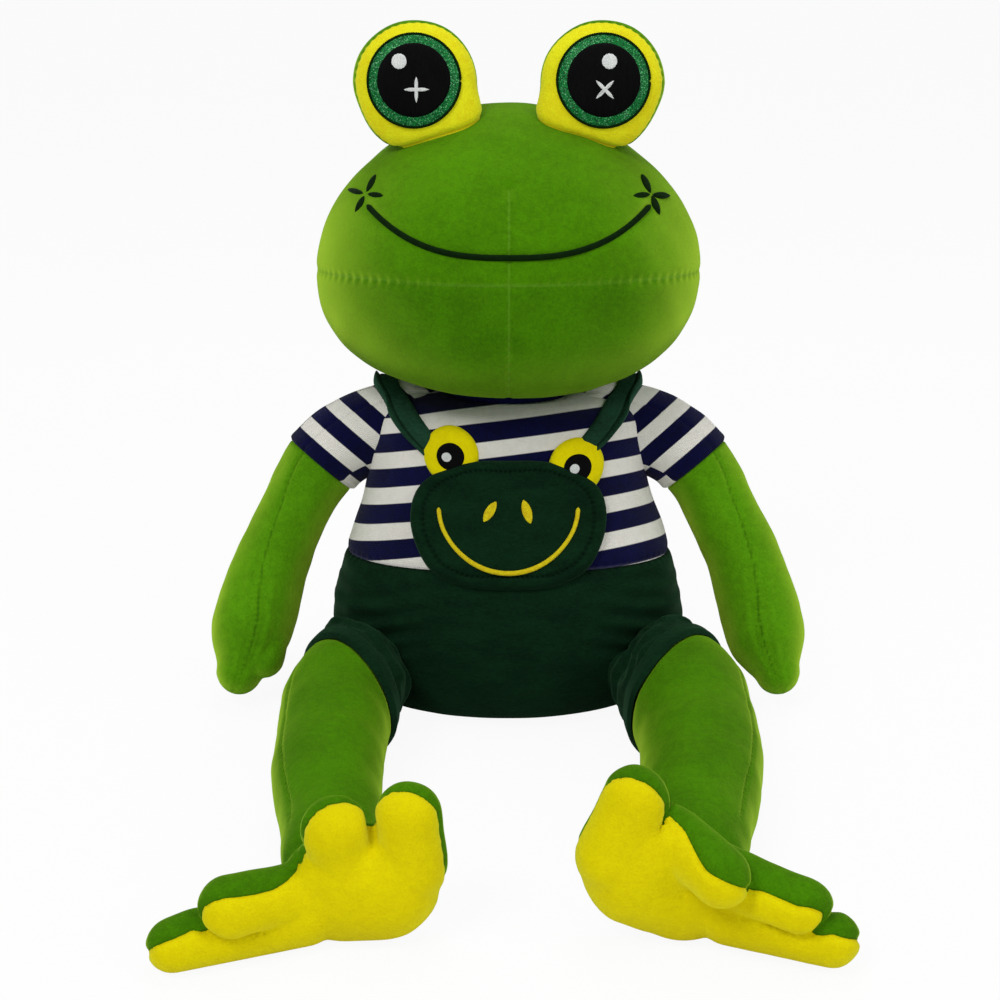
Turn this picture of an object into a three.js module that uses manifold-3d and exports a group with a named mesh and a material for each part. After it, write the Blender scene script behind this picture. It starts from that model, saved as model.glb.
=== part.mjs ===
// A stuffed frog that sits on the floor with its legs forward, in millimetres, +Z up.
// Its front faces -Y and its own left side is +X. The origin is under the seat, on the floor.
// Each fabric skin is an open shell round its own stuffing, and every seam keeps a small gap.

import * as THREE from 'three';
import { mergeVertices } from 'three/addons/utils/BufferGeometryUtils.js';
import Module from 'manifold-3d';

const wasm = await Module();
wasm.setup();

// Fabric, seams and cuts
const wall = 3;
const gap = 0.3;
const turningGap = 0.8;
const seatCut = 0.5;
const cutReach = 900;
const threadHeight = 1.2;
const patchHeight = 1.5;

// Torso
const torsoHeight = 186;
const bellyHalfWidth = 110;
const bellyFront = 88;
const bellyBack = 81;
const neckSetBack = 22;
const waistHeight = 88.6;
const waistSlopeShare = 0.141;
const torsoRoundnessShare = 2.15;

// Head, as lengths from the jaw seam's centre
const headHalfWidth = 114.5;
const headHalfDepth = 90;
const headRise = 97;
const headDrop = 75;
const headLift = 78;
const headHeight = torsoHeight + headLift;
const headSetBack = 8;
const headTiltDegrees = 7;
const jawSlopeShare = 0.03;
const jawSagShare = 0.26;
const crownRoundnessShare = 1.85;
const jawRoundnessShare = 2.4;

// Neck
const neckRadius = 34;
const neckRise = 6;
const neckHeight = torsoHeight + neckRise;

// Eyes
const eyeRadius = 36;
const eyeFront = 17;
const eyeBack = 22;
const eyeSpread = 54;
const eyeRise = 109;
const eyeForward = 27;
const eyeTiltDegrees = 5;
const eyeLeanShare = 0.36;
const eyeLeanStart = 8;
const glitterRadius = 26;
const pupilRadius = 20.5;
const glintRadius = 4.3;
const glintRise = 10;
const leftGlintOut = 3;
const rightGlintOut = 8;
const starRadius = 6.6;

// Mouth and cheeks
const mouthHeight = 12;
const mouthRise = 27.6;
const mouthBendShare = 2.85;
const mouthThickness = 3.2;
const mouthHalfWidth = 81;
const cheekSpread = 82;
const cheekHeight = 45.5;
const petalLength = 11;
const petalWidth = 4;
const petalDegrees = { left: [ 115, - 8, 292, 184 ], right: [ 63, - 4, 240, 171 ] };

// Arms
const shoulderDrop = 22;
const shoulderHeight = torsoHeight - shoulderDrop;
const shoulderSpread = 84;
const shoulderSetBack = 22;
const shoulderRadius = 36;
const armOut = 79;
const armDrop = 139;
const armForward = 62;
const armRadius = 27;
const thumbRadius = 11;
const sleeveLengthShare = 0.287;

// Legs
const hipSpread = 78;
const hipForward = 30;
const hipHeight = 38;
const legLength = 262;
const legOuts = { left: 27, right: 20.5 };
const legSink = 8;
const thighRadii = { left: 36, right: 33 };
const cuffLengthShare = 0.315;
const cuffSlantShare = 1.2;
const legLowDegrees = - 15;
const legHighDegrees = 60;
const legSwingStepCount = 6;

// Feet, as lengths from the ankle's centre
const ankleRadius = 24;
const toeReach = 60;
const toeRadius = 16.5;
const padHalfWidth = 30;
const padThicknessShare = 0.6;
const heelLengthShare = 0.6;
const heelTaperShare = 0.85;
const seamReachShare = 2.2;

// Straps and bib
const strapWidth = 15;
const strapThickness = 3;
const strapTopSpread = 76;
const strapFrontSpread = 44;
const strapBackSpread = 24;
const strapRise = 14;
const bibHalfWidth = 58;
const bibHalfHeight = 34.5;
const bibDrop = 62.5;
const bibHeight = torsoHeight - bibDrop;
const bibThickness = 6;
const bibEyeSpreads = { left: 41.5, right: 33.5 };
const bibEyeLifts = { left: 28.5, right: 34 };
const bibEyeRadius = 17;
const bibPupilRadius = 8;
const bibGlintRadius = 2.8;
const smileHalfWidth = 39;
const smileDepth = 32;
const smileRise = 5.5;
const smileThickness = 2.2;
const nostrilSpread = 8.5;
const nostrilLength = 12;
const nostrilWidth = 5;
const nostrilDegrees = 20;

// Facets
const bodySideCount = 24;
const coreSideCount = 12;
const limbSideCount = 14;
const neckSideCount = 22;
const limbCoreSideCount = 8;
const toeSideCount = 10;
const toeCoreSideCount = 6;
const capRingCount = 2;
const smileStepCount = 12;
const mouthStepCount = 16;
const headRowCount = 6;
const poleShare = 0.98;
const eyeRimShare = 0.8;
const starWaistShare = 0.22;

const fabrics = {
	leafGreen: { color: 0x4f9a1c, roughness: 0.9, metalness: 0 },
	jawGreen: { color: 0x468c1a, roughness: 0.9, metalness: 0 },
	lemon: { color: 0xf0e62a, roughness: 0.9, metalness: 0 },
	glitter: { color: 0x0a7a30, roughness: 0.4, metalness: 0.3 },
	black: { color: 0x0b0b0c, roughness: 0.8, metalness: 0 },
	glint: { color: 0xdfe2e0, roughness: 0.6, metalness: 0 },
	thread: { color: 0x10230c, roughness: 0.7, metalness: 0 },
	jersey: { color: 0xe4e2dc, roughness: 0.9, metalness: 0 },
	velour: { color: 0x123a24, roughness: 0.95, metalness: 0 },
	fibre: { color: 0xf2f1ee, roughness: 1, metalness: 0 },
};

const frog = new THREE.Group();
const vector = ( x, y, z ) => new THREE.Vector3( x, y, z );
const radians = THREE.MathUtils.degToRad;

// Solids and meshes

function solidOf( geometry ) {

	const bare = geometry.index ? geometry.clone() : geometry;
	bare.deleteAttribute( 'normal' );
	bare.deleteAttribute( 'uv' );
	const merged = mergeVertices( bare );
	const vertProperties = new Float32Array( merged.attributes.position.array );
	const triVerts = new Uint32Array( merged.index.array );
	return new wasm.Manifold( new wasm.Mesh( { numProp: 3, vertProperties, triVerts } ) );

}

function geometryOf( solid ) {

	const mesh = solid.getMesh();
	const geometry = new THREE.BufferGeometry();
	geometry.setAttribute( 'position', new THREE.BufferAttribute( mesh.vertProperties, 3 ) );
	geometry.setIndex( new THREE.BufferAttribute( mesh.triVerts, 1 ) );
	geometry.computeVertexNormals();
	return geometry;

}

function addPiece( name, solid, fabric, group = frog ) {

	const material = new THREE.MeshStandardMaterial( fabrics[ fabric ] );
	const mesh = new THREE.Mesh( geometryOf( solid ), material );
	mesh.name = name;
	group.add( mesh );

}

function signedVolume( points, faces ) {

	let volume = 0;
	for ( const [ a, b, c ] of faces ) {

		volume += points[ a ].dot( vector( 0, 0, 0 ).crossVectors( points[ b ], points[ c ] ) );

	}

	return volume;

}

// A closed solid from its corners and faces, turned to face out
function closedSolid( points, faces ) {

	const outward = signedVolume( points, faces ) > 0;
	const index = faces.flatMap( ( [ a, b, c ] ) => outward ? [ a, b, c ] : [ a, c, b ] );
	const geometry = new THREE.BufferGeometry().setFromPoints( points );
	geometry.setIndex( index );
	return solidOf( geometry );

}

// Rings of equal count joined into one solid, each end closed by a fan about its middle
function loft( rings ) {

	const count = rings[ 0 ].length;
	const points = rings.flat();
	const faces = [];
	for ( let ring = 0; ring + 1 < rings.length; ring ++ ) {

		for ( let i = 0; i < count; i ++ ) {

			const a = ring * count + i;
			const b = ring * count + ( i + 1 ) % count;
			faces.push( [ a, b, b + count ], [ a, b + count, a + count ] );

		}

	}

	for ( const ring of [ 0, rings.length - 1 ] ) {

		const middle = points.length;
		const centre = vector( 0, 0, 0 );
		rings[ ring ].forEach( ( point ) => centre.add( point ) );
		points.push( centre.divideScalar( count ) );
		for ( let i = 0; i < count; i ++ ) {

			const a = ring * count + i;
			const b = ring * count + ( i + 1 ) % count;
			faces.push( ring === 0 ? [ middle, b, a ] : [ middle, a, b ] );

		}

	}

	return closedSolid( points, faces );

}

// A ring round a centre: half widths across, in front and behind, with a rounder or squarer corner
function oval( centre, across, front, halfAcross, halfFront, halfBack, sides, roundness ) {

	const power = 2 / roundness;
	const ring = [];
	for ( let i = 0; i < sides; i ++ ) {

		const angle = 2 * Math.PI * i / sides;
		const c = Math.cos( angle );
		const s = Math.sin( angle );
		const wide = halfAcross * Math.sign( c ) * Math.abs( c ) ** power;
		const deep = ( s > 0 ? halfFront : halfBack ) * Math.sign( s ) * Math.abs( s ) ** power;
		ring.push( centre.clone().addScaledVector( across, wide ).addScaledVector( front, deep ) );

	}

	return ring;

}

function valueAt( values, share ) {

	const line = new THREE.SplineCurve( values.map( ( value, i ) => new THREE.Vector2( i, value ) ) );
	return line.getPoint( share ).y;

}

// A stuffed tube that swells and tapers along a line of points, with round ends
function limb( { points, radii, up, sides, steps, inset = 0, flatShare = 1, caps = capRingCount } ) {

	const line = new THREE.CatmullRomCurve3( points );
	const rings = [];
	const addRing = ( share, lift, ringShare ) => {

		const tangent = line.getTangent( share );
		const across = vector( 0, 0, 0 ).crossVectors( tangent, up ).normalize();
		const front = vector( 0, 0, 0 ).crossVectors( across, tangent );
		const radius = valueAt( radii, share ) - inset;
		const flat = valueAt( radii, share ) * flatShare - inset;
		const centre = line.getPoint( share ).addScaledVector( tangent, lift * radius );
		const high = flat * ringShare;
		rings.push( oval( centre, across, front, radius * ringShare, high, high, sides, 2 ) );

	};

	const tipAngle = poleShare * Math.PI / 2;
	for ( let i = caps; i > 0; i -- ) {

		const angle = tipAngle * i / caps;
		addRing( 0, - Math.sin( angle ), Math.cos( angle ) );

	}

	for ( let i = 0; i <= steps; i ++ ) addRing( i / steps, 0, 1 );
	for ( let i = 1; i <= caps; i ++ ) {

		const angle = tipAngle * i / caps;
		addRing( 1, Math.sin( angle ), Math.cos( angle ) );

	}

	return loft( rings );

}

// Cutting blocks and balls

// The half of space beyond a plane, as one large block
function beyond( point, normal ) {

	const turn = new THREE.Quaternion().setFromUnitVectors( vector( 0, 0, 1 ), normal.clone().normalize() );
	const geometry = new THREE.BoxGeometry( cutReach, cutReach, cutReach );
	geometry.translate( 0, 0, cutReach / 2 );
	geometry.applyQuaternion( turn );
	geometry.translate( point.x, point.y, point.z );
	return solidOf( geometry );

}

function ball( centre, radius, sides ) {

	const geometry = new THREE.SphereGeometry( radius, sides, Math.ceil( sides / 2 ) );
	geometry.rotateX( Math.PI / 2 );
	geometry.translate( centre.x, centre.y, centre.z );
	return solidOf( geometry );

}

// A cylinder along X from one place to another
function sideways( centre, radius, reach, sides ) {

	const geometry = new THREE.CylinderGeometry( radius, radius, Math.abs( reach ), sides );
	geometry.rotateZ( Math.PI / 2 );
	geometry.translate( centre.x + reach / 2, centre.y, centre.z );
	return solidOf( geometry );

}

// A flat outline in X and Z, pushed through the object from one depth to another
function through( outline, near, far ) {

	const shape = new THREE.Shape( outline );
	const options = { depth: far - near, bevelEnabled: false, steps: 1 };
	const geometry = new THREE.ExtrudeGeometry( shape, options );
	geometry.rotateX( Math.PI / 2 );
	geometry.translate( 0, far, 0 );
	return solidOf( geometry );

}

function place( solid, move ) {

	const geometry = geometryOf( solid );
	geometry.deleteAttribute( 'normal' );
	geometry.applyMatrix4( move );
	return solidOf( geometry );

}

function turned( solid, pivot, degrees ) {

	const move = new THREE.Matrix4().makeTranslation( pivot.x, pivot.y, pivot.z );
	move.multiply( new THREE.Matrix4().makeRotationX( radians( degrees ) ) );
	move.multiply( new THREE.Matrix4().makeTranslation( - pivot.x, - pivot.y, - pivot.z ) );
	return place( solid, move );

}

// Flat outlines

function disc( x, z, radius, sides ) {

	const outline = [];
	for ( let i = 0; i < sides; i ++ ) {

		const angle = 2 * Math.PI * i / sides;
		outline.push( new THREE.Vector2( x + radius * Math.cos( angle ), z + radius * Math.sin( angle ) ) );

	}

	return outline;

}

// A pointed leaf from one place, in a direction
function leaf( x, z, length, width, degrees ) {

	const along = new THREE.Vector2( Math.cos( radians( degrees ) ), Math.sin( radians( degrees ) ) );
	const across = new THREE.Vector2( - along.y, along.x );
	const leafShares = [ [ 0, 0.16 ], [ 0.5, 0.5 ], [ 1, 0.1 ], [ 1, - 0.1 ], [ 0.5, - 0.5 ], [ 0, - 0.16 ] ];
	return leafShares.map( ( [ lengthShare, widthShare ] ) => new THREE.Vector2( x, z )
		.addScaledVector( along, length * lengthShare )
		.addScaledVector( across, width * widthShare ) );

}

// A band of even thickness along a curve
function band( line, thickness ) {

	const sideOf = ( way ) => line.map( ( point, i ) => {

		const before = line[ Math.max( i - 1, 0 ) ];
		const after = line[ Math.min( i + 1, line.length - 1 ) ];
		const along = after.clone().sub( before ).normalize();
		const across = new THREE.Vector2( - along.y, along.x );
		return point.clone().addScaledVector( across, way * thickness / 2 );

	} );

	return [ ...sideOf( 1 ), ...sideOf( - 1 ).reverse() ];

}

// Torso

// height, half width, front depth and back depth, as shares of the torso's own sizes
const torsoShares = [
	[ 0, 0.70, 0.64, 0.70, 0 ],
	[ 0.035, 0.86, 0.85, 0.87, 0 ],
	[ 0.105, 0.97, 0.96, 0.96, 0 ],
	[ 0.21, 1, 1, 1, 0 ],
	[ 0.315, 0.985, 0.995, 0.99, 0.02 ],
	[ 0.42, 0.94, 0.955, 0.94, 0.1 ],
	[ 0.525, 0.89, 0.89, 0.87, 0.26 ],
	[ 0.63, 0.83, 0.80, 0.79, 0.46 ],
	[ 0.735, 0.785, 0.72, 0.73, 0.66 ],
	[ 0.84, 0.78, 0.665, 0.69, 0.85 ],
	[ 0.925, 0.76, 0.63, 0.65, 0.95 ],
	[ 0.965, 0.71, 0.58, 0.61, 1 ],
	[ 0.987, 0.62, 0.51, 0.56, 1 ],
	[ 1, 0.46, 0.46, 0.52, 1 ],
];

function torsoForm( inset, sides, rowStep = 1 ) {

	const last = torsoShares.length - 1;
	const rows = torsoShares.filter( ( row, i ) => i % rowStep === 0 || i === last );
	const rings = rows.map( ( [ riseShare, wideShare, frontShare, backShare, setShare ] ) => {

		const z = inset + ( torsoHeight - 2 * inset ) * riseShare;
		const centre = vector( 0, neckSetBack * setShare, z );
		const wide = bellyHalfWidth * wideShare - inset;
		const front = bellyFront * frontShare - inset;
		const back = bellyBack * backShare - inset;
		const [ across, forward ] = [ vector( 1, 0, 0 ), vector( 0, - 1, 0 ) ];
		return oval( centre, across, forward, wide, front, back, sides, torsoRoundnessShare );

	} );

	return loft( rings );

}

const neckCentre = vector( 0, neckSetBack, neckHeight );
const shoulder = ( side ) => vector( side * shoulderSpread, shoulderSetBack, shoulderHeight );
const hip = ( side ) => vector( side * hipSpread, - hipForward, hipHeight );
const waistNormal = vector( 0, waistSlopeShare, 1 );
const waistPoint = vector( 0, 0, waistHeight );

// What the neck and the two arm roots take out of the torso
function torsoCuts() {

	let cuts = ball( neckCentre, neckRadius + turningGap, neckSideCount );
	for ( const side of [ - 1, 1 ] ) {

		cuts = cuts.add( sideways( shoulder( side ), shoulderRadius, side * cutReach, limbSideCount ) );

	}

	return cuts;

}

function buildTorso() {

	const cuts = torsoCuts();
	const open = torsoForm( 0, bodySideCount ).subtract( torsoForm( wall, coreSideCount, 2 ) ).subtract( cuts );
	const above = waistPoint.clone().addScaledVector( waistNormal, gap );
	addPiece( 'shirt_body', open.intersect( beyond( above, waistNormal ) ), 'jersey' );
	addPiece( 'overalls_pants', open.subtract( beyond( waistPoint, waistNormal ) ), 'velour' );
	addPiece( 'torso_stuffing', torsoForm( wall + gap, coreSideCount, 2 ).subtract( cuts ), 'fibre' );
	addPiece( 'neck_stuffing', ball( neckCentre, neckRadius, neckSideCount ), 'fibre' );

}

// A patch of fabric that follows the torso, between two heights above it
function onTorso( outline, low, high, keepFront = true ) {

	const layer = torsoForm( - high, bodySideCount ).subtract( torsoForm( - low, bodySideCount ) );
	const near = keepFront ? - cutReach / 2 : neckSetBack / 2;
	const far = keepFront ? neckSetBack / 2 : cutReach / 2;
	return layer.intersect( through( outline, near, far ) );

}

const bibShares = [
	[ 0, 0.98 ], [ 0.3, 0.97 ], [ 0.45, 0.93 ], [ 0.6, 0.84 ], [ 0.76, 0.71 ], [ 0.9, 0.5 ], [ 0.98, 0.24 ],
	[ 1, 0 ], [ 0.98, - 0.26 ], [ 0.92, - 0.5 ], [ 0.8, - 0.75 ], [ 0.6, - 0.91 ], [ 0.28, - 0.99 ],
];

function bibOutline( grow = 0 ) {

	const half = bibShares.map( ( [ x, z ] ) => [ x * ( bibHalfWidth + grow ), z * ( bibHalfHeight + grow ) ] );
	const right = half.map( ( [ x, z ] ) => new THREE.Vector2( x, bibHeight + z ) );
	const left = half.slice( 1 ).reverse().map( ( [ x, z ] ) => new THREE.Vector2( - x, bibHeight + z ) );
	return [ ...right, ...left ];

}

function bibEyePlace( name, side ) {

	return [ side * bibEyeSpreads[ name ], bibHeight + bibEyeLifts[ name ] ];

}

function buildBib() {

	const panelTop = gap + bibThickness;
	const panel = through( bibOutline( gap ), - cutReach / 2, neckSetBack / 2 );
	addPiece( 'bib_panel', onTorso( bibOutline(), gap, panelTop ), 'velour' );
	const smile = [];
	for ( let i = 0; i <= smileStepCount; i ++ ) {

		const turn = Math.PI * ( 1 + i / smileStepCount );
		const rise = bibHeight + smileRise + smileDepth * Math.sin( turn );
		smile.push( new THREE.Vector2( smileHalfWidth * Math.cos( turn ), rise ) );

	}

	const threadLow = panelTop + gap;
	const threadHigh = threadLow + threadHeight;
	addPiece( 'bib_smile', onTorso( band( smile, smileThickness ), threadLow, threadHigh ), 'lemon' );
	for ( const [ name, side ] of [ [ 'left', 1 ], [ 'right', - 1 ] ] ) {

		const [ x, z ] = bibEyePlace( name, side );
		const eye = disc( x, z, bibEyeRadius, toeSideCount );
		const pupil = disc( x, z, bibPupilRadius, toeSideCount );
		const glint = disc( x, z, bibGlintRadius, toeSideCount / 2 );
		const lean = 90 + side * nostrilDegrees;
		const nostril = leaf( side * nostrilSpread, bibHeight, nostrilLength, nostrilWidth, lean );
		const pupilTop = threadLow + patchHeight;
		addPiece( `bib_eye_${name}`, onTorso( eye, gap, panelTop ).subtract( panel ), 'lemon' );
		addPiece( `bib_pupil_${name}`, onTorso( pupil, threadLow, pupilTop ), 'black' );
		addPiece( `bib_glint_${name}`, onTorso( glint, pupilTop + gap, pupilTop + gap + threadHeight ), 'glint' );
		addPiece( `bib_nostril_${name}`, onTorso( nostril, threadLow, threadHigh ), 'lemon' );

	}

}

function buildStraps() {

	const low = gap;
	const high = gap + strapThickness;
	const panel = through( bibOutline( gap ), - cutReach / 2, neckSetBack / 2 );
	for ( const [ name, side ] of [ [ 'left', 1 ], [ 'right', - 1 ] ] ) {

		const top = new THREE.Vector2( side * strapTopSpread, torsoHeight + strapRise );
		const front = new THREE.Vector2( side * strapFrontSpread, bibHeight );
		const back = new THREE.Vector2( side * strapBackSpread, waistHeight - bellyBack );
		const eye = disc( ...bibEyePlace( name, side ), bibEyeRadius + gap, toeSideCount );
		const eyeCut = through( eye, - cutReach / 2, neckSetBack / 2 );
		const frontPiece = onTorso( band( [ front, top ], strapWidth ), low, high );
		const backPiece = onTorso( band( [ back, top ], strapWidth ), low, high, false );
		const above = waistPoint.clone().addScaledVector( waistNormal, gap );
		const whole = frontPiece.subtract( panel ).subtract( eyeCut ).add( backPiece );
		const root = shoulder( side );
		const clear = whole.subtract( sideways( root, shoulderRadius, side * cutReach, limbSideCount ) );
		addPiece( `strap_${name}`, clear.intersect( beyond( above, waistNormal ) ), 'velour' );

	}

}

// Head, built about the jaw seam and tilted back

const headPlace = new THREE.Matrix4().makeTranslation( 0, headSetBack, headHeight );
headPlace.multiply( new THREE.Matrix4().makeRotationX( radians( - headTiltDegrees ) ) );

// The jaw's filling sinks towards the front
function sagged( point ) {

	const frontShare = Math.max( 0, - point.y / headHalfDepth );
	return vector( point.x, point.y, point.z * ( 1 + jawSagShare * frontShare ** 2 ) );

}

function headForm( inset, sides, rows ) {

	const rings = [];
	for ( let i = - rows; i <= rows; i ++ ) {

		const angle = poleShare * Math.PI / 2 * i / rows;
		const upper = i > 0;
		const power = 2 / ( upper ? crownRoundnessShare : jawRoundnessShare );
		const rise = ( upper ? headRise : headDrop ) - inset;
		const z = rise * Math.sign( i ) * Math.abs( Math.sin( angle ) ) ** power;
		const reachShare = Math.cos( angle ) ** power;
		const wide = ( headHalfWidth - inset ) * reachShare;
		const deep = ( headHalfDepth - inset ) * reachShare;
		const middle = vector( 0, 0, z );
		const ring = oval( middle, vector( 1, 0, 0 ), vector( 0, - 1, 0 ), wide, deep, deep, sides, 2 );
		rings.push( upper ? ring : ring.map( sagged ) );

	}

	return loft( rings );

}

// The eye's lower half leans in towards the crown
function leaned( point, side ) {

	const drop = Math.max( 0, eyeRise - point.z );
	const lean = eyeLeanShare * drop ** 2 / ( drop + eyeLeanStart );
	return vector( point.x - side * lean, point.y, point.z );

}

// An eye: a padded disc that faces forward and a little up
function eyeForm( side, inset, sides, rows ) {

	const rings = [];
	for ( let i = - rows; i <= rows; i ++ ) {

		const angle = poleShare * Math.PI / 2 * i / rows;
		const depth = ( i > 0 ? eyeBack : eyeFront ) - inset;
		const centre = vector( side * eyeSpread, - eyeForward + depth * Math.sin( angle ), eyeRise );
		const radius = ( eyeRadius - inset ) * Math.cos( angle ) ** eyeRimShare;
		const ring = oval( centre, vector( 1, 0, 0 ), vector( 0, 0, 1 ), radius, radius, radius, sides, 2 );
		rings.push( ring.map( ( point ) => leaned( point, side ) ) );

	}

	const eyeCentre = vector( side * eyeSpread, - eyeForward, eyeRise );
	return turned( loft( rings ), eyeCentre, - eyeTiltDegrees );

}

function starOutline( x, z, radius, count, turnDegrees ) {

	const outline = [];
	for ( let i = 0; i < 2 * count; i ++ ) {

		const reach = i % 2 === 0 ? radius : radius * starWaistShare;
		const angle = Math.PI * i / count + radians( turnDegrees );
		outline.push( new THREE.Vector2( x + reach * Math.cos( angle ), z + reach * Math.sin( angle ) ) );

	}

	return outline;

}

function buildEyes( headSolid ) {

	for ( const [ name, side ] of [ [ 'left', 1 ], [ 'right', - 1 ] ] ) {

		const eyeCentre = vector( side * eyeSpread, - eyeForward, eyeRise );
		const shell = eyeForm( side, 0, limbSideCount, 3 ).subtract( eyeForm( side, wall, limbCoreSideCount, 2 ) );
		const outside = shell.subtract( headSolid );
		const split = turned( beyond( eyeCentre, vector( 0, 1, 0 ) ), eyeCentre, - eyeTiltDegrees );
		const splitPoint = eyeCentre.clone().add( vector( 0, - gap, 0 ) );
		const frontSplit = turned( beyond( splitPoint, vector( 0, 1, 0 ) ), eyeCentre, - eyeTiltDegrees );
		addPiece( `eye_back_${name}`, place( outside.intersect( split ), headPlace ), 'leafGreen' );
		addPiece( `eye_face_${name}`, place( outside.subtract( frontSplit ), headPlace ), 'lemon' );
		const core = eyeForm( side, wall + gap, limbCoreSideCount, 2 ).subtract( headSolid );
		addPiece( `eye_stuffing_${name}`, place( core, headPlace ), 'fibre' );
		const onEye = ( outline, low, high ) => {

			const below = eyeForm( side, - low, limbSideCount, 3 );
			const layer = eyeForm( side, - high, limbSideCount, 3 ).subtract( below );
			const prism = through( outline, - cutReach / 2, - eyeForward );
			const patch = layer.intersect( prism ).subtract( headSolid );
			return place( patch, headPlace );

		};

		const x = side * eyeSpread;
		const glitterTop = gap + patchHeight;
		const pupilTop = glitterTop + patchHeight;
		const ring = disc( x, eyeRise, glitterRadius, limbSideCount );
		const pupil = disc( x, eyeRise, pupilRadius, limbSideCount );
		const glintOut = side > 0 ? leftGlintOut : - rightGlintOut;
		const dot = disc( x + glintOut, eyeRise + glintRise, glintRadius, limbSideCount / 2 );
		const star = starOutline( x, eyeRise - glintRise / 2, starRadius, 4, side > 0 ? 45 : 90 );
		const glitter = onEye( ring, gap, glitterTop );
		addPiece( `eye_glitter_${name}`, glitter, 'glitter' );
		addPiece( `eye_pupil_${name}`, onEye( pupil, glitterTop + gap, pupilTop ), 'black' );
		addPiece( `eye_dot_${name}`, onEye( dot, pupilTop + gap, pupilTop + gap + threadHeight ), 'glint' );
		addPiece( `eye_star_${name}`, onEye( star, pupilTop + gap, pupilTop + gap + threadHeight ), 'glint' );

	}

}

function buildFace() {

	const low = headForm( - gap, bodySideCount, headRowCount );
	const layer = headForm( - gap - threadHeight, bodySideCount, headRowCount ).subtract( low );
	const onFace = ( outline ) => place( layer.intersect( through( outline, - cutReach / 2, 0 ) ), headPlace );
	const mouth = [];
	for ( let i = 0; i <= mouthStepCount; i ++ ) {

		const outShare = 2 * i / mouthStepCount - 1;
		const rise = mouthHeight + mouthRise * Math.abs( outShare ) ** mouthBendShare;
		mouth.push( new THREE.Vector2( mouthHalfWidth * outShare, rise ) );

	}

	addPiece( 'mouth_embroidery', onFace( band( mouth, mouthThickness ) ), 'thread' );
	const mouthCut = place( through( band( mouth, mouthThickness + 2 * gap ), - cutReach / 2, 0 ), headPlace );
	for ( const [ name, side ] of [ [ 'left', 1 ], [ 'right', - 1 ] ] ) {

		const petals = petalDegrees[ name ].map( ( degrees ) => {

			return onFace( leaf( side * cheekSpread, cheekHeight, petalLength, petalWidth, degrees ) );

		} );
		const star = petals.reduce( ( sum, petal ) => sum.add( petal ) );
		addPiece( `cheek_star_${name}`, star.subtract( mouthCut ), 'thread' );

	}

}

function buildHead() {

	const outer = headForm( 0, bodySideCount, headRowCount );
	const skin = place( outer.subtract( headForm( wall, coreSideCount, 4 ) ), headPlace );
	const jaw = vector( 0, headSetBack, headHeight );
	const up = vector( 0, - jawSlopeShare, 1 ).normalize();
	up.applyAxisAngle( vector( 1, 0, 0 ), radians( - headTiltDegrees ) );
	const above = jaw.clone().addScaledVector( up, gap );
	const neckHole = ball( neckCentre, neckRadius + turningGap, neckSideCount );
	addPiece( 'head_upper', skin.intersect( beyond( above, up ) ), 'leafGreen' );
	addPiece( 'head_lower', skin.subtract( beyond( jaw, up ) ).subtract( neckHole ), 'jawGreen' );
	const core = place( headForm( wall + gap, coreSideCount, 4 ), headPlace );
	addPiece( 'head_stuffing', core.subtract( neckHole ), 'fibre' );
	buildEyes( headForm( - gap, bodySideCount, headRowCount ) );
	buildFace();

}

// Arms

// Outward, forward and downward, as shares of the arm's three reaches, then the radius share
const armShares = [
	[ - 0.3, 0, - 0.01, 0.95 ],
	[ 0.13, 0.02, 0.06, 0.9 ],
	[ 0.415, 0.1, 0.18, 0.85 ],
	[ 0.615, 0.24, 0.37, 0.8 ],
	[ 0.785, 0.42, 0.57, 0.84 ],
	[ 0.9, 0.64, 0.77, 0.92 ],
	[ 0.965, 0.85, 0.91, 0.86 ],
	[ 1.03, 1.02, 1.02, 0.5 ],
];
const thumbShares = {
	left: [ [ 0.93, 0.5, 0.74, 1 ], [ 1.03, 0.66, 0.86, 1.1 ], [ 1.1, 0.8, 0.95, 1 ] ],
	right: [ [ 0.86, 0.64, 0.74, 1 ], [ 0.8, 0.86, 0.86, 1.1 ], [ 0.82, 1.02, 0.96, 1 ] ],
};

function armPoints( side, shares ) {

	return shares.map( ( [ outShare, forwardShare, dropShare ] ) => {

		const root = shoulder( side );
		const move = vector( side * armOut * outShare, - armForward * forwardShare, - armDrop * dropShare );
		return root.add( move );

	} );

}

function armForm( name, side, inset, sides, steps ) {

	const radii = armShares.map( ( row ) => armRadius * row[ 3 ] );
	const thumbRadii = thumbShares[ name ].map( ( row ) => thumbRadius * row[ 3 ] );
	const up = vector( 0, 1, 0 );
	const arm = limb( { points: armPoints( side, armShares ), radii, up, sides, steps, inset } );
	const thumbPoints = armPoints( side, thumbShares[ name ] );
	const thumb = limb( { points: thumbPoints, radii: thumbRadii, up, sides: toeSideCount, steps: 3, inset } );
	return arm.add( thumb );

}

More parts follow.
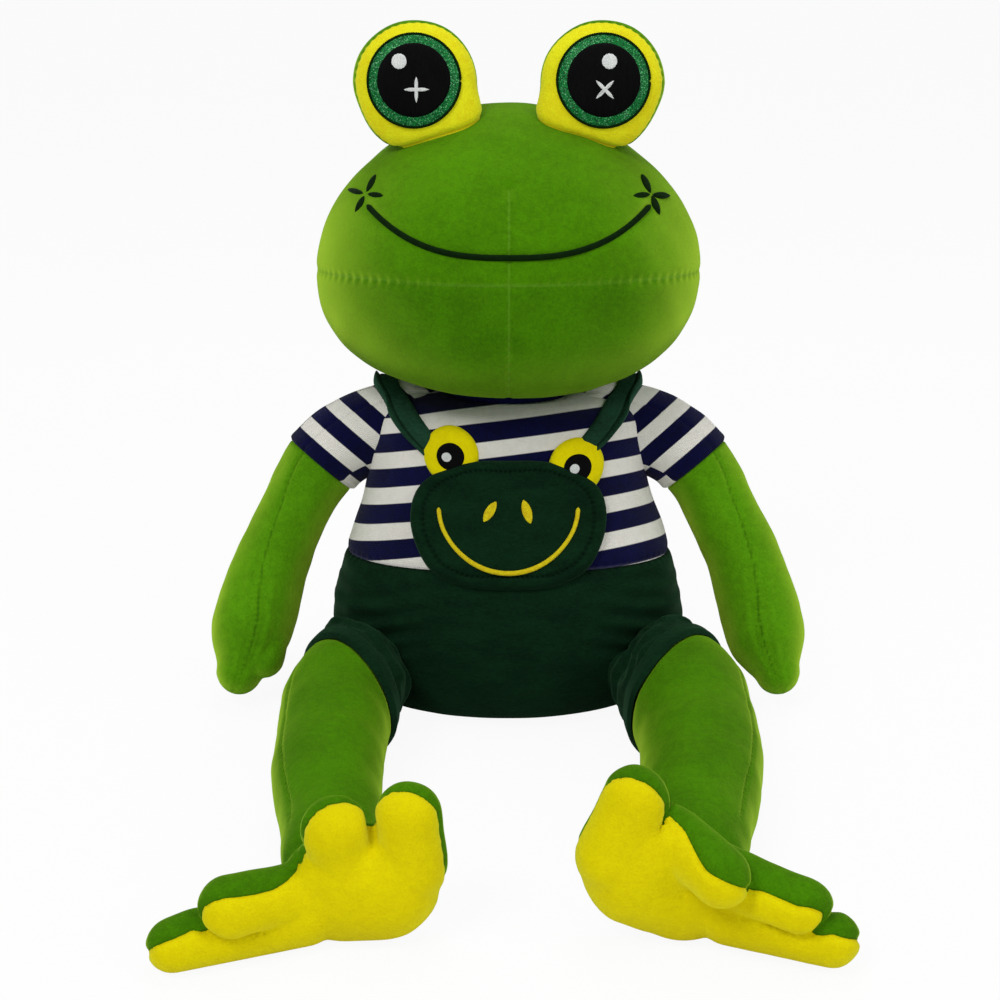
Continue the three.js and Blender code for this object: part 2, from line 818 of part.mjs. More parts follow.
function buildArms() {

	for ( const [ name, side ] of [ [ 'left', 1 ], [ 'right', - 1 ] ] ) {

		const root = shoulder( side );
		const seam = root.clone().add( vector( side * gap, 0, 0 ) );
		const out = vector( side, 0, 0 );
		const inner = armForm( name, side, wall, limbCoreSideCount, 6 );
		const skin = armForm( name, side, 0, limbSideCount, 8 ).subtract( inner );
		const open = skin.intersect( beyond( seam, out ) );
		const line = new THREE.CatmullRomCurve3( armPoints( side, armShares ) );
		const hem = line.getPoint( sleeveLengthShare );
		const down = line.getTangent( sleeveLengthShare );
		const below = hem.clone().addScaledVector( down, gap );
		addPiece( `sleeve_${name}`, open.subtract( beyond( hem, down ) ), 'jersey' );
		addPiece( `arm_${name}`, open.intersect( beyond( below, down ) ), 'leafGreen' );
		const coreSeam = root.clone().add( vector( side * ( wall + 2 * gap ), 0, 0 ) );
		const core = armForm( name, side, wall + gap, limbCoreSideCount, 6 ).intersect( beyond( coreSeam, out ) );
		addPiece( `arm_stuffing_${name}`, core, 'fibre' );

	}

}

// Legs

// Outward, forward and sinking, as shares of the leg's three reaches, then the radius share
const legShares = [
	[ 0, - 0.05, 0, 0.7 ],
	[ 0.5, 0.14, 0.2, 0.87 ],
	[ 0.9, 0.3, 0.45, 0.98 ],
	[ 1, 0.47, 0.6, 0.93 ],
	[ 0.95, 0.64, 0.75, 0.9 ],
	[ 0.7, 0.82, 0.9, 0.82 ],
	[ 0.42, 1, 1, 0.72 ],
];

const sideName = ( side ) => side > 0 ? 'left' : 'right';

function legPoints( side ) {

	return legShares.map( ( [ outShare, forwardShare, sinkShare ] ) => {

		const out = side * legOuts[ sideName( side ) ] * outShare;
		return hip( side ).add( vector( out, - legLength * forwardShare, - legSink * sinkShare ) );

	} );

}

const ankle = ( side ) => legPoints( side ).pop();

function legForm( side, inset, sides, steps ) {

	const radii = legShares.map( ( row ) => thighRadii[ sideName( side ) ] * row[ 3 ] );
	return limb( { points: legPoints( side ), radii, up: vector( 0, 0, 1 ), sides, steps, inset } );

}

// The torso as the leg meets it, at rest and through the whole swing of the hip
function hipCuts( side, clearance ) {

	const torso = torsoForm( - clearance, bodySideCount );
	let cuts = torso;
	for ( let i = 0; i <= legSwingStepCount; i ++ ) {

		const swing = legLowDegrees + ( legHighDegrees - legLowDegrees ) * i / legSwingStepCount;
		cuts = cuts.add( turned( torso, hip( side ), swing ) );

	}

	return cuts;

}

function buildLegs() {

	for ( const [ name, side ] of [ [ 'left', 1 ], [ 'right', - 1 ] ] ) {

		const ankleReach = side * cutReach;
		const start = ankle( side ).add( vector( - ankleReach / 2, 0, 0 ) );
		const round = ( ankleRadius + turningGap - gap ) / Math.cos( Math.PI / limbSideCount );
		const ankleCut = sideways( start, round, ankleReach, limbSideCount );
		const past = ankle( side ).add( vector( 0, ankleRadius / 4, 0 ) );
		const end = beyond( past, vector( 0, - 1, 0 ) );
		const skin = legForm( side, 0, limbSideCount, 8 ).subtract( legForm( side, wall, limbCoreSideCount, 6 ) );
		const open = skin.subtract( hipCuts( side, turningGap ) ).subtract( ankleCut ).subtract( end );
		const line = new THREE.CatmullRomCurve3( legPoints( side ) );
		const hem = line.getPoint( cuffLengthShare );
		const forward = vector( side * cuffSlantShare, - 1, 0 ).normalize();
		const below = hem.clone().addScaledVector( forward, gap );
		addPiece( `shorts_leg_${name}`, open.subtract( beyond( hem, forward ) ), 'velour' );
		addPiece( `leg_${name}`, open.intersect( beyond( below, forward ) ), 'leafGreen' );
		const core = legForm( side, wall + gap, limbCoreSideCount, 6 );
		const cutCore = core.subtract( hipCuts( side, wall + turningGap ) ).subtract( ankleCut ).subtract( end );
		addPiece( `leg_stuffing_${name}`, cutCore, 'fibre' );

	}

}

// Feet

// Each toe's knuckle and tip from the ankle, outward, forward and up, as shares of the toes'
// reach, its radii there as shares of the toes' own, and the way its sole faces, outward,
// forward and down
const toeShares = {
	left: [
		{
			knuckle: [ - 0.7, 0.42, 0.25 ], tip: [ - 0.52, 0.43, 0.74 ],
			radii: [ 1.15, 0.96 ], sole: [ - 0.25, 0.95, 0.1 ],
		},
		{
			knuckle: [ - 0.18, 0.45, 0.43 ], tip: [ 0.125, 0.85, 0.3 ],
			radii: [ 0.8, 0.9 ], sole: [ - 0.4, 0.3, 0.85 ],
		},
		{
			knuckle: [ 0.02, 0.45, 0.18 ], tip: [ 0.77, 0.8, 0 ],
			radii: [ 0.88, 0.88 ], sole: [ - 0.1, 0.55, 0.8 ],
		},
		{
			knuckle: [ 0.25, 0.5, - 0.2 ], tip: [ 1.02, 0.88, - 0.24 ],
			radii: [ 0.95, 0.76 ], sole: [ 0, 0.5, 0.85 ],
		},
	],
	right: [
		{
			knuckle: [ - 0.63, 0.42, 0.2 ], tip: [ - 0.62, 0.43, 0.61 ],
			radii: [ 1.05, 1.02 ], sole: [ 0, 1, 0 ],
		},
		{
			knuckle: [ - 0.18, 0.42, 0.12 ], tip: [ - 0.08, 0.48, 0.51 ],
			radii: [ 0.95, 1 ], sole: [ - 0.25, 0.95, 0.15 ],
		},
		{
			knuckle: [ 0.18, 0.43, - 0.09 ], tip: [ 0.74, 0.8, 0 ],
			radii: [ 0.9, 0.91 ], sole: [ - 0.15, 0.7, 0.6 ],
		},
		{
			knuckle: [ 0.2, 0.46, - 0.21 ], tip: [ 1.19, 0.88, - 0.28 ],
			radii: [ 1.03, 0.76 ], sole: [ - 0.3, 0.6, 0.75 ],
		},
	],
};
const padShares = {
	left: { ends: [ [ - 0.4, 0.42, 0.18 ], [ - 0.1, 0.42, 0 ] ], radii: [ 1.08, 0.96 ] },
	right: { ends: [ [ - 0.37, 0.42, 0.14 ], [ - 0.1, 0.42, 0 ] ], radii: [ 1.08, 0.96 ] },
};
const heelShares = [ - 0.4, 0.42, - 0.02 ];
const padEdgeShares = [ [ 0.5, - 1.6 ], [ - 1, - 1.4 ], [ - 2, - 0.2 ] ];

function fromAnkle( side, [ outShare, forwardShare, upShare ] ) {

	const move = vector( side * toeReach * outShare, - toeReach * forwardShare, toeReach * upShare );
	return ankle( side ).add( move );

}

function footForm( name, side, inset, sides, caps ) {

	const shape = { sides, caps, steps: 1, inset, up: vector( 0, 1, 0 ) };
	const pad = padShares[ name ];
	const padPoints = pad.ends.map( ( shares ) => fromAnkle( side, shares ) );
	const padRadii = pad.radii.map( ( share ) => share * padHalfWidth );
	let foot = limb( { ...shape, points: padPoints, radii: padRadii, flatShare: padThicknessShare } );
	for ( const toe of toeShares[ name ] ) {

		const points = [ toe.knuckle, toe.tip ].map( ( shares ) => fromAnkle( side, shares ) );
		const radii = toe.radii.map( ( share ) => share * toeRadius );
		foot = foot.add( limb( { ...shape, points, radii } ) );

	}

	const heelEnd = ankle( side ).lerp( fromAnkle( side, heelShares ), heelLengthShare );
	const heelRadii = [ ankleRadius, ankleRadius * heelTaperShare ];
	const heelPoints = [ ankle( side ), heelEnd ];
	const heel = limb( { ...shape, points: heelPoints, radii: heelRadii, up: vector( 0, 0, 1 ) } );
	return foot.add( heel );

}

// Everything on the sole's side of the seam that runs round the pad and the toes
function soleSide( name, side, lift ) {

	const [ padStart, padEnd ] = padShares[ name ].ends.map( ( shares ) => fromAnkle( side, shares ) );
	const middle = padStart.clone().lerp( padEnd, 0.5 );
	const rim = toeShares[ name ].map( ( toe ) => {

		const [ outShare, forwardShare, downShare ] = toe.sole;
		const sole = vector( side * outShare, - forwardShare, - downShare );
		return { point: middle.clone().lerp( fromAnkle( side, toe.tip ), seamReachShare ), sole };

	} );
	padEdgeShares.forEach( ( [ outShare, upShare ] ) => {

		const move = vector( side * toeReach * outShare, 0, toeReach * upShare );
		rim.push( { point: middle.clone().add( move ), sole: vector( 0, - 1, 0 ) } );

	} );
	const sole = vector( 0, - 1, 0 );
	const points = [ lift, legLength ].map( ( height ) => middle.clone().addScaledVector( sole, height ) );
	const count = rim.length;
	for ( const height of [ lift, legLength ] ) {

		rim.forEach( ( place ) => points.push( place.point.clone().addScaledVector( place.sole, height ) ) );

	}

	const faces = [];
	for ( let i = 0; i < count; i ++ ) {

		const a = 2 + i;
		const b = 2 + ( i + 1 ) % count;
		faces.push( [ 0, a, b ], [ 1, b + count, a + count ], [ a, a + count, b + count ], [ a, b + count, b ] );

	}

	return closedSolid( points, faces );

}

function buildFeet() {

	const floor = beyond( vector( 0, 0, seatCut ), vector( 0, 0, 1 ) );
	for ( const [ name, side ] of [ [ 'left', 1 ], [ 'right', - 1 ] ] ) {

		const inner = footForm( name, side, wall, toeCoreSideCount, 1 );
		const skin = footForm( name, side, 0, toeSideCount, capRingCount ).subtract( inner ).intersect( floor );
		addPiece( `foot_sole_${name}`, skin.intersect( soleSide( name, side, gap ) ), 'lemon' );
		addPiece( `foot_top_${name}`, skin.subtract( soleSide( name, side, 0 ) ), 'leafGreen' );
		addPiece( `foot_stuffing_${name}`, footForm( name, side, wall + gap, toeCoreSideCount, 1 ), 'fibre' );

	}

}

buildTorso();
buildBib();
buildStraps();
buildHead();
buildArms();
buildLegs();
buildFeet();

export default frog;
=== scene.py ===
"""A stuffed frog in a striped shirt and short dungarees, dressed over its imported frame.

Every skin is a dense sewn surface in millimetres, cut into its panels where the real one is
sewn, drawn in along each seam, and then turned into metres. Its own left side is +X.
"""

import logging
import math
from dataclasses import dataclass, field, replace
from enum import Enum
from typing import Callable, Sequence

import bpy
import numpy as np
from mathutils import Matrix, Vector


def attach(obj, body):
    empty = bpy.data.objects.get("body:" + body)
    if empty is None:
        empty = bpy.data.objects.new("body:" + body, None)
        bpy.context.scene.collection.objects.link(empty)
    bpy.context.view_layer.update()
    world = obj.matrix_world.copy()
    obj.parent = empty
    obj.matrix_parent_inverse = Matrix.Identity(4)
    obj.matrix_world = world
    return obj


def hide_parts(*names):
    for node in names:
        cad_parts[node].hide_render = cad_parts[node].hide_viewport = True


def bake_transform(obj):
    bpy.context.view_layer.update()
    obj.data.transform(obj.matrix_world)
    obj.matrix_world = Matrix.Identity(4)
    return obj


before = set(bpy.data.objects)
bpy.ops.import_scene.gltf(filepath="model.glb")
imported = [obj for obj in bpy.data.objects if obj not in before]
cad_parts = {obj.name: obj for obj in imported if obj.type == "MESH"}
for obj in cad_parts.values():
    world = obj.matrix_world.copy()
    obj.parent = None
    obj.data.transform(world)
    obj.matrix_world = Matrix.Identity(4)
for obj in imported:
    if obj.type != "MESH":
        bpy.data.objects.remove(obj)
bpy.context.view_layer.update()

METRE = 0.001
PROBE = 0.4
LOG = logging.getLogger("frog")


class Side(Enum):
    """The frog's own sides, each with its name and its way along X."""

    LEFT = ("left", 1.0)
    RIGHT = ("right", -1.0)

    @property
    def word(self) -> str:
        """Returns: the side's name."""
        return self.value[0]

    @property
    def way(self) -> float:
        """Returns: 1 towards +X and -1 towards -X."""
        return self.value[1]

    def pick(self, pair: Sequence) -> object:
        """Returns: this side's one of a pair that is given left first."""
        return pair[0 if self is Side.LEFT else 1]


# Numbers along curves and surfaces


def unit(vectors: np.ndarray) -> np.ndarray:
    """Returns: vectors along the last axis, made one unit long."""
    length = np.linalg.norm(vectors, axis=-1, keepdims=True)
    return vectors / np.maximum(length, 1e-9)


def smooth_values(stops: Sequence[float], values: Sequence, at: np.ndarray) -> np.ndarray:
    """Reads a table of values along a smooth curve.

    Args:
        stops: rising places of the rows.
        values: a value or a row of values at each stop.
        at: the places to read.

    Returns:
        The values at those places.
    """
    stops, values, at = (np.asarray(part, float) for part in (stops, values, at))
    slopes = np.gradient(values, stops, axis=0)
    index = np.clip(np.searchsorted(stops, at, side="right") - 1, 0, len(stops) - 2)
    step = stops[index + 1] - stops[index]
    t = np.clip((at - stops[index]) / step, 0, 1)
    if values.ndim > 1:
        step, t = step[..., None], t[..., None]
    start = (1 + 2 * t) * (1 - t) ** 2 * values[index]
    end = t**2 * (3 - 2 * t) * values[index + 1]
    lean = t * (1 - t) ** 2 * slopes[index] + t**2 * (t - 1) * slopes[index + 1]
    return start + end + step * lean


def swell(points: np.ndarray, size: float, seed: int, waves: int = 10) -> np.ndarray:
    """Gives the soft lumps of a hand-filled toy.

    Args:
        points: places in millimetres.
        size: rough size of a lump in millimetres.
        seed: which pattern of lumps.
        waves: how many waves are summed.

    Returns:
        A value from about -1 to 1 at each place.
    """
    source = np.random.default_rng(seed)
    directions = unit(source.normal(size=(waves, 3)))
    directions *= source.uniform(0.6, 1.5, (waves, 1)) * 2 * math.pi / size
    phases = source.uniform(0, 2 * math.pi, waves)
    return np.cos(points @ directions.T + phases).sum(1) / math.sqrt(2 * waves)


def groove(distance: np.ndarray, width: float) -> np.ndarray:
    """Returns: one at a seam, falling to zero with the distance over the width."""
    return np.exp(-((distance / width) ** 2))


def stitch_wave(run: np.ndarray, pitch: float, least: float) -> np.ndarray:
    """Returns: the pull of one stitch after another, which is least between two."""
    return least + (1 - least) * np.cos(run * 2 * math.pi / pitch)


@dataclass(frozen=True)
class Seam:
    """A sewn seam: how deep and wide it draws the cloth in, and its stitches."""

    depth: float
    width: float
    pitch: float
    least: float = 0.75

    def pull(self, distance: np.ndarray, run: np.ndarray) -> np.ndarray:
        """Returns: how far in the cloth is drawn, by distance from the seam and along it."""
        return self.depth * groove(distance, self.width) * stitch_wave(run, self.pitch, self.least)


@dataclass(frozen=True)
class Lumps:
    """The uneven filling under a skin: broad lumps with finer ones between them."""

    height: float
    size: float
    fine_height: float
    fine_size: float
    seed: int

    def over(self, points: np.ndarray) -> np.ndarray:
        """Returns: how far the skin stands out at each point."""
        broad = self.height * swell(points, self.size, self.seed)
        return broad + self.fine_height * swell(points, self.fine_size, self.seed + 1)


def full_turn(count: int) -> np.ndarray:
    """Returns: evenly spaced angles once round."""
    return np.linspace(0, 2 * math.pi, count, endpoint=False)


def length_along(line: np.ndarray) -> np.ndarray:
    """Returns: the distance along a line at each of its points."""
    return np.concatenate([[0], np.cumsum(np.linalg.norm(np.diff(line, axis=0), axis=1))])


def tipped(points: np.ndarray, degrees: float) -> np.ndarray:
    """Returns: points turned about X, with their top going back."""
    c, s = math.cos(math.radians(degrees)), math.sin(math.radians(degrees))
    x, y, z = points[..., 0], points[..., 1], points[..., 2]
    return np.stack([x, y * c + z * s, z * c - y * s], -1)


def raised(depth: Callable, x: np.ndarray, z: np.ndarray, lift: np.ndarray) -> np.ndarray:
    """Places points above a surface that is given by its depth.

    Args:
        depth: the surface's place along Y for places across and heights.
        x: places across.
        z: heights.
        lift: how far the points stand off the surface.

    Returns:
        The points.
    """
    lean_x = (depth(x + PROBE, z) - depth(x - PROBE, z)) / (2 * PROBE)
    lean_z = (depth(x, z + PROBE) - depth(x, z - PROBE)) / (2 * PROBE)
    normal = unit(np.stack([lean_x, -np.ones_like(lean_x), lean_z], -1))
    return np.stack([x, depth(x, z), z], -1) + normal * np.asarray(lift)[..., None]


def step_up(values: np.ndarray, low: float, high: float) -> np.ndarray:
    """Returns: shares that rise smoothly from 0 at low to 1 at high."""
    t = np.clip((values - low) / (high - low), 0, 1)
    return t * t * (3 - 2 * t)


# Surfaces


@dataclass
class Surface:
    """A triangle surface in millimetres, with named values at its points."""

    points: np.ndarray
    faces: np.ndarray
    values: dict[str, np.ndarray] = field(default_factory=dict)

    def normals(self) -> np.ndarray:
        """Returns: the outward direction at each point."""
        a, b, c = (self.points[self.faces[:, i]] for i in range(3))
        across = np.cross(b - a, c - a)
        total = np.zeros_like(self.points)
        for i in range(3):
            for axis in range(3):
                total[:, axis] += np.bincount(
                    self.faces[:, i], across[:, axis], len(self.points)
                )
        return unit(total)

    def shifted(self, heights: np.ndarray) -> "Surface":
        """Returns: the surface with each point moved outward along its normal."""
        moved = self.points + self.normals() * np.asarray(heights)[:, None]
        return Surface(moved, self.faces, dict(self.values))

    def shifted_all(self, height: float) -> "Surface":
        """Returns: the surface with every point moved outward by one height."""
        return self.shifted(np.full(len(self.points), height))

    def with_value(self, name: str, values: np.ndarray) -> "Surface":
        """Returns: the surface with one more named value."""
        return Surface(self.points, self.faces, {**self.values, name: values})

    def cut(self, levels: np.ndarray) -> tuple["Surface", "Surface"]:
        """Cuts the surface where a level crosses zero.

        Args:
            levels: the level at each point.

        Returns:
            The part above zero and the part below it.
        """
        high = levels > 0
        count = high[self.faces].sum(1)
        mixed = self.faces[(count == 1) | (count == 2)]
        lone_high = high[mixed].sum(1) == 1
        first = (high[mixed] == lone_high[:, None]).argmax(1)
        row = np.arange(len(mixed))
        a, b, c = (mixed[row, (first + turn) % 3] for turn in range(3))
        pairs = np.sort(np.concatenate([np.stack([a, b], 1), np.stack([a, c], 1)]), 1)
        edges, place = np.unique(pairs, axis=0, return_inverse=True)
        place = place.reshape(-1) + len(self.points)
        near, far = levels[edges[:, 0]], levels[edges[:, 1]]
        share = near / (near - far)

        def joined(values: np.ndarray) -> np.ndarray:
            """Returns: the values with those at the new points added."""
            weight = share.reshape((-1,) + (1,) * (values.ndim - 1))
            new = values[edges[:, 0]] * (1 - weight) + values[edges[:, 1]] * weight
            return np.concatenate([values, new])

        ab, ac = place[: len(mixed)], place[len(mixed) :]
        lone = np.stack([a, ab, ac], 1)
        pair = np.concatenate([np.stack([ab, b, c], 1), np.stack([ab, c, ac], 1)])
        pair_low = np.tile(lone_high, 2)
        above = [self.faces[count == 3], lone[lone_high], pair[~pair_low]]
        below = [self.faces[count == 0], lone[~lone_high], pair[pair_low]]
        values = {name: joined(old) for name, old in self.values.items()}
        whole = Surface(joined(self.points), self.faces, values)
        return whole.kept(np.concatenate(above)), whole.kept(np.concatenate(below))

    def kept(self, faces: np.ndarray) -> "Surface":
        """Keeps some faces and the points that they use.

        Args:
            faces: the faces to keep.

        Returns:
            The smaller surface.
        """
        used, place = np.unique(faces, return_inverse=True)
        values = {name: old[used] for name, old in self.values.items()}
        return Surface(self.points[used], place.reshape(-1, 3), values)

    def piece(self, name: str, finish: bpy.types.Material) -> bpy.types.Object:
        """Turns the surface into a Blender object in metres.

        Args:
            name: the piece's name.
            finish: its material.

        Returns:
            The new object.
        """
        mesh = bpy.data.meshes.new(name)
        mesh.from_pydata((self.points * METRE).tolist(), [], self.faces.tolist())
        for key, numbers in self.values.items():
            layer = mesh.attributes.new(key, "FLOAT", "POINT")
            layer.data.foreach_set("value", np.asarray(numbers, np.float32))
        mesh.materials.append(finish)
        mesh.shade_smooth()
        thing = bpy.data.objects.new(name, mesh)
        bpy.context.scene.collection.objects.link(thing)
        return thing


def joined_surfaces(parts: Sequence[Surface]) -> Surface:
    """Puts several surfaces into one.

    Args:
        parts: the surfaces, which share the names of their values.

    Returns:
        One surface.
    """
    starts = np.cumsum([0] + [len(part.points) for part in parts])
    points = np.concatenate([part.points for part in parts])
    faces = np.concatenate([part.faces + at for part, at in zip(parts, starts)])
    names = parts[0].values
    return Surface(points, faces, {n: np.concatenate([p.values[n] for p in parts]) for n in names})


def sewn_grid(grid: np.ndarray, closed: bool = True, caps: bool = True) -> Surface:
    """Makes a surface of rings of points.

    Args:
        grid: the points, as rings by columns by three.
        closed: whether each ring runs round to its start.
        caps: whether the two end rings are closed by a fan.

    Returns:
        The surface, with its faces turned outward where it is closed.
    """
    rows, columns = grid.shape[:2]
    here = np.arange(columns if closed else columns - 1)
    there = (here + 1) % columns
    rise = np.arange(rows - 1)[:, None] * columns
    a, b = (rise + here).ravel(), (rise + there).ravel()
    c, d = b + columns, a + columns
    faces = [np.stack([a, b, c], 1), np.stack([a, c, d], 1)]
    points = [grid.reshape(-1, 3)]
    if caps:
        ends = np.array([grid[0].mean(0), grid[-1].mean(0)])
        points.append(ends)
        middle = np.full(len(here), rows * columns)
        last = (rows - 1) * columns
        faces.append(np.stack([middle, there, here], 1))
        faces.append(np.stack([middle + 1, here + last, there + last], 1))
    surface = Surface(np.concatenate(points), np.concatenate(faces))
    a, b, c = (surface.points[surface.faces[:, i]] - grid.mean((0, 1)) for i in range(3))
    if np.einsum("ij,ij->i", a, np.cross(b, c)).sum() < 0:
        surface.faces = surface.faces[:, ::-1].copy()
    return surface


def sculpted(parts: Sequence[Surface], voxel: float, rounds: int) -> Surface:
    """Melts overlapping closed surfaces into one even skin and softens where they meet.

    Args:
        parts: the closed surfaces.
        voxel: size of the even faces in millimetres.
        rounds: how often the skin is smoothed.

    Returns:
        One closed surface.
    """
    whole = joined_surfaces(parts)
    source = whole.piece("melt_source", bpy.data.materials.new("melt"))
    remesh = source.modifiers.new("even", "REMESH")
    remesh.mode = "VOXEL"
    remesh.voxel_size = voxel * METRE
    smooth = source.modifiers.new("soft", "SMOOTH")
    smooth.factor = 0.5
    smooth.iterations = rounds
    ready = source.evaluated_get(bpy.context.evaluated_depsgraph_get())
    mesh = ready.to_mesh()
    mesh.calc_loop_triangles()
    points = np.zeros(len(mesh.vertices) * 3)
    mesh.vertices.foreach_get("co", points)
    faces = np.zeros(len(mesh.loop_triangles) * 3, int)
    mesh.loop_triangles.foreach_get("vertices", faces)
    ready.to_mesh_clear()
    bpy.data.objects.remove(source, do_unlink=True)
    return Surface(points.reshape(-1, 3) / METRE, faces.reshape(-1, 3))


# Finishes

SHEEN_ROUGHNESS = 0.45
# Layer Weight blend of the painted sheen towards the silhouette.
PAINTED_SHEEN_BLEND = 0.42
STRIPE_MIDDLE = 0.12
RIB_PITCH = 1.1
COURSES = 18.0
SPECK_SHARE = 9.0


def colour(code: str) -> tuple[float, float, float, float]:
    """Reads a colour as it looks on screen.

    Args:
        code: six hexadecimal digits.

    Returns:
        The linear colour, with a full alpha.
    """
    shares = [int(code[i : i + 2], 16) / 255 for i in (0, 2, 4)]
    linear = [s / 12.92 if s <= 0.04045 else ((s + 0.055) / 1.055) ** 2.4 for s in shares]
    return (*linear, 1.0)


class Wiring:
    """Adds nodes to a shader tree and joins them."""

    def __init__(self, tree: bpy.types.NodeTree) -> None:
        """Keeps the tree.

        Args:
            tree: the tree to add to.
        """
        self.tree = tree

    def add(self, kind: str, inputs: dict | None = None, **settings: object) -> bpy.types.Node:
        """Adds one node.

        Args:
            kind: the node's type.
            inputs: a value or a socket to feed in, for each input.
            settings: the node's own settings.

        Returns:
            The new node.
        """
        node = self.tree.nodes.new(kind)
        for key, value in settings.items():
            setattr(node, key, value)
        for key, value in (inputs or {}).items():
            if isinstance(value, bpy.types.NodeSocket):
                self.tree.links.new(value, node.inputs[key])
            else:
                node.inputs[key].default_value = value
        return node

    def math(self, operation: str, a: object, b: object = 0.0) -> bpy.types.NodeSocket:
        """Returns: the socket of a sum of one or two numbers or sockets."""
        return self.add("ShaderNodeMath", {0: a, 1: b}, operation=operation).outputs[0]

    def spread(self, value: object, *ends: float) -> bpy.types.NodeSocket:
        """Maps a number smoothly from one range to another.

        Args:
            value: the number's socket.
            ends: low and high of the old range, then of the new one.

        Returns:
            The mapped number's socket.
        """
        inputs = {"Value": value, "From Min": ends[0], "From Max": ends[1]}
        inputs.update({"To Min": ends[2], "To Max": ends[3]})
        node = self.add("ShaderNodeMapRange", inputs, interpolation_type="SMOOTHSTEP")
        return node.outputs["Result"]

    def group(self, effect: "Effect", inputs: dict) -> bpy.types.Node:
        """Returns: the node of one shared group, with its inputs' values."""
        return self.add("ShaderNodeGroup", inputs, node_tree=effect.group())

    def blend(self, share: object, first: object, second: object) -> bpy.types.NodeSocket:
        """Mixes two colours.

        Args:
            share: how much of the second.
            first: the first colour or socket.
            second: the second colour or socket.

        Returns:
            The mixed colour's socket.
        """
        node = self.add("ShaderNodeMix", data_type="RGBA")
        for key, value in ((0, share), (6, first), (7, second)):
            if isinstance(value, bpy.types.NodeSocket):
                self.tree.links.new(value, node.inputs[key])
            else:
                node.inputs[key].default_value = value
        return node.outputs[2]


class Effect(Enum):
    """The shader groups that several fabrics share."""

    NAP = "Brushed nap"
    # The seam colour's mask: painted shade in the seam grooves, and a painted highlight on the
    # crown's and jaw's seams.
    SEWN = "Sewn shade"
    STRIPES = "Knitted stripes"

    def group(self) -> bpy.types.NodeTree:
        """Returns: the group, made on its first use."""
        found = bpy.data.node_groups.get(self.value)
        if found:
            return found
        tree = bpy.data.node_groups.new(self.value, "ShaderNodeTree")
        makers = {Effect.NAP: make_nap, Effect.SEWN: make_sewn, Effect.STRIPES: make_stripes}
        makers[self](tree)
        return tree


def open_group(tree: bpy.types.NodeTree, inputs: dict, outputs: Sequence[str]) -> tuple:
    """Gives a group its sockets.

    Args:
        tree: the group.
        inputs: name and default number of each input.
        outputs: names of the outputs.

    Returns:
        The wiring, the inputs' sockets and the output node.
    """
    for name, default in inputs.items():
        socket = tree.interface.new_socket(name, in_out="INPUT", socket_type="NodeSocketFloat")
        socket.default_value = default
    for name in outputs:
        tree.interface.new_socket(name, in_out="OUTPUT", socket_type="NodeSocketFloat")
    wiring = Wiring(tree)
    entry = wiring.add("NodeGroupInput")
    return wiring, entry.outputs, wiring.add("NodeGroupOutput")


def make_nap(tree: bpy.types.NodeTree) -> None:
    """Builds the brushed nap: soft patches of tone, and fine fibres in relief.

    Args:
        tree: the empty group.
    """
    inputs = {"Patch": 30.0, "Fibre": 900.0, "Streak": 1.0}
    wiring, entry, leaving = open_group(tree, inputs, ("Tone", "Height"))
    place = wiring.add("ShaderNodeTexCoord").outputs["Object"]
    stretch = wiring.add("ShaderNodeCombineXYZ", {"X": 1.0, "Y": 1.0, "Z": entry["Streak"]})
    brushed = wiring.add(
        "ShaderNodeVectorMath", {0: place, 1: stretch.outputs[0]}, operation="MULTIPLY"
    ).outputs[0]
    patch = wiring.add(
        "ShaderNodeTexNoise", {"Vector": brushed, "Scale": entry["Patch"], "Detail": 4.0}
    ).outputs[0]
    grain = wiring.math("MULTIPLY", entry["Patch"], SPECK_SHARE)
    speck = wiring.add(
        "ShaderNodeTexNoise", {"Vector": brushed, "Scale": grain, "Detail": 3.0}
    ).outputs[0]
    fibre = wiring.add(
        "ShaderNodeTexNoise", {"Vector": brushed, "Scale": entry["Fibre"], "Detail": 2.0}
    ).outputs[0]
    broad = wiring.math("MULTIPLY", patch, 0.4)
    tone = wiring.math("ADD", broad, wiring.math("MULTIPLY", speck, 0.3))
    tone = wiring.math("ADD", tone, wiring.math("MULTIPLY", fibre, 0.3))
    coarse = wiring.math("MULTIPLY", speck, 0.6)
    height = wiring.math("ADD", wiring.math("MULTIPLY", fibre, 0.7), coarse)
    links = tree.links
    links.new(wiring.spread(tone, 0.28, 0.72, 0.0, 1.0), leaving.inputs["Tone"])
    links.new(height, leaving.inputs["Height"])


def make_sewn(tree: bpy.types.NodeTree) -> None:
    """Builds the mask of the seam colour from the mesh's own seam values, with small stitches. That
    colour is painted shade in the seam grooves, and a painted highlight where it is paler than the
    cloth.

    Args:
        tree: the empty group.
    """
    wiring, entry, leaving = open_group(tree, {"Strength": 1.0}, ("Mask",))
    seam = wiring.add("ShaderNodeAttribute", attribute_name="seam").outputs["Fac"]
    mask = wiring.math("MULTIPLY", wiring.spread(seam, 0.15, 0.95, 0.0, 1.0), entry["Strength"])
    tree.links.new(mask, leaving.inputs["Mask"])


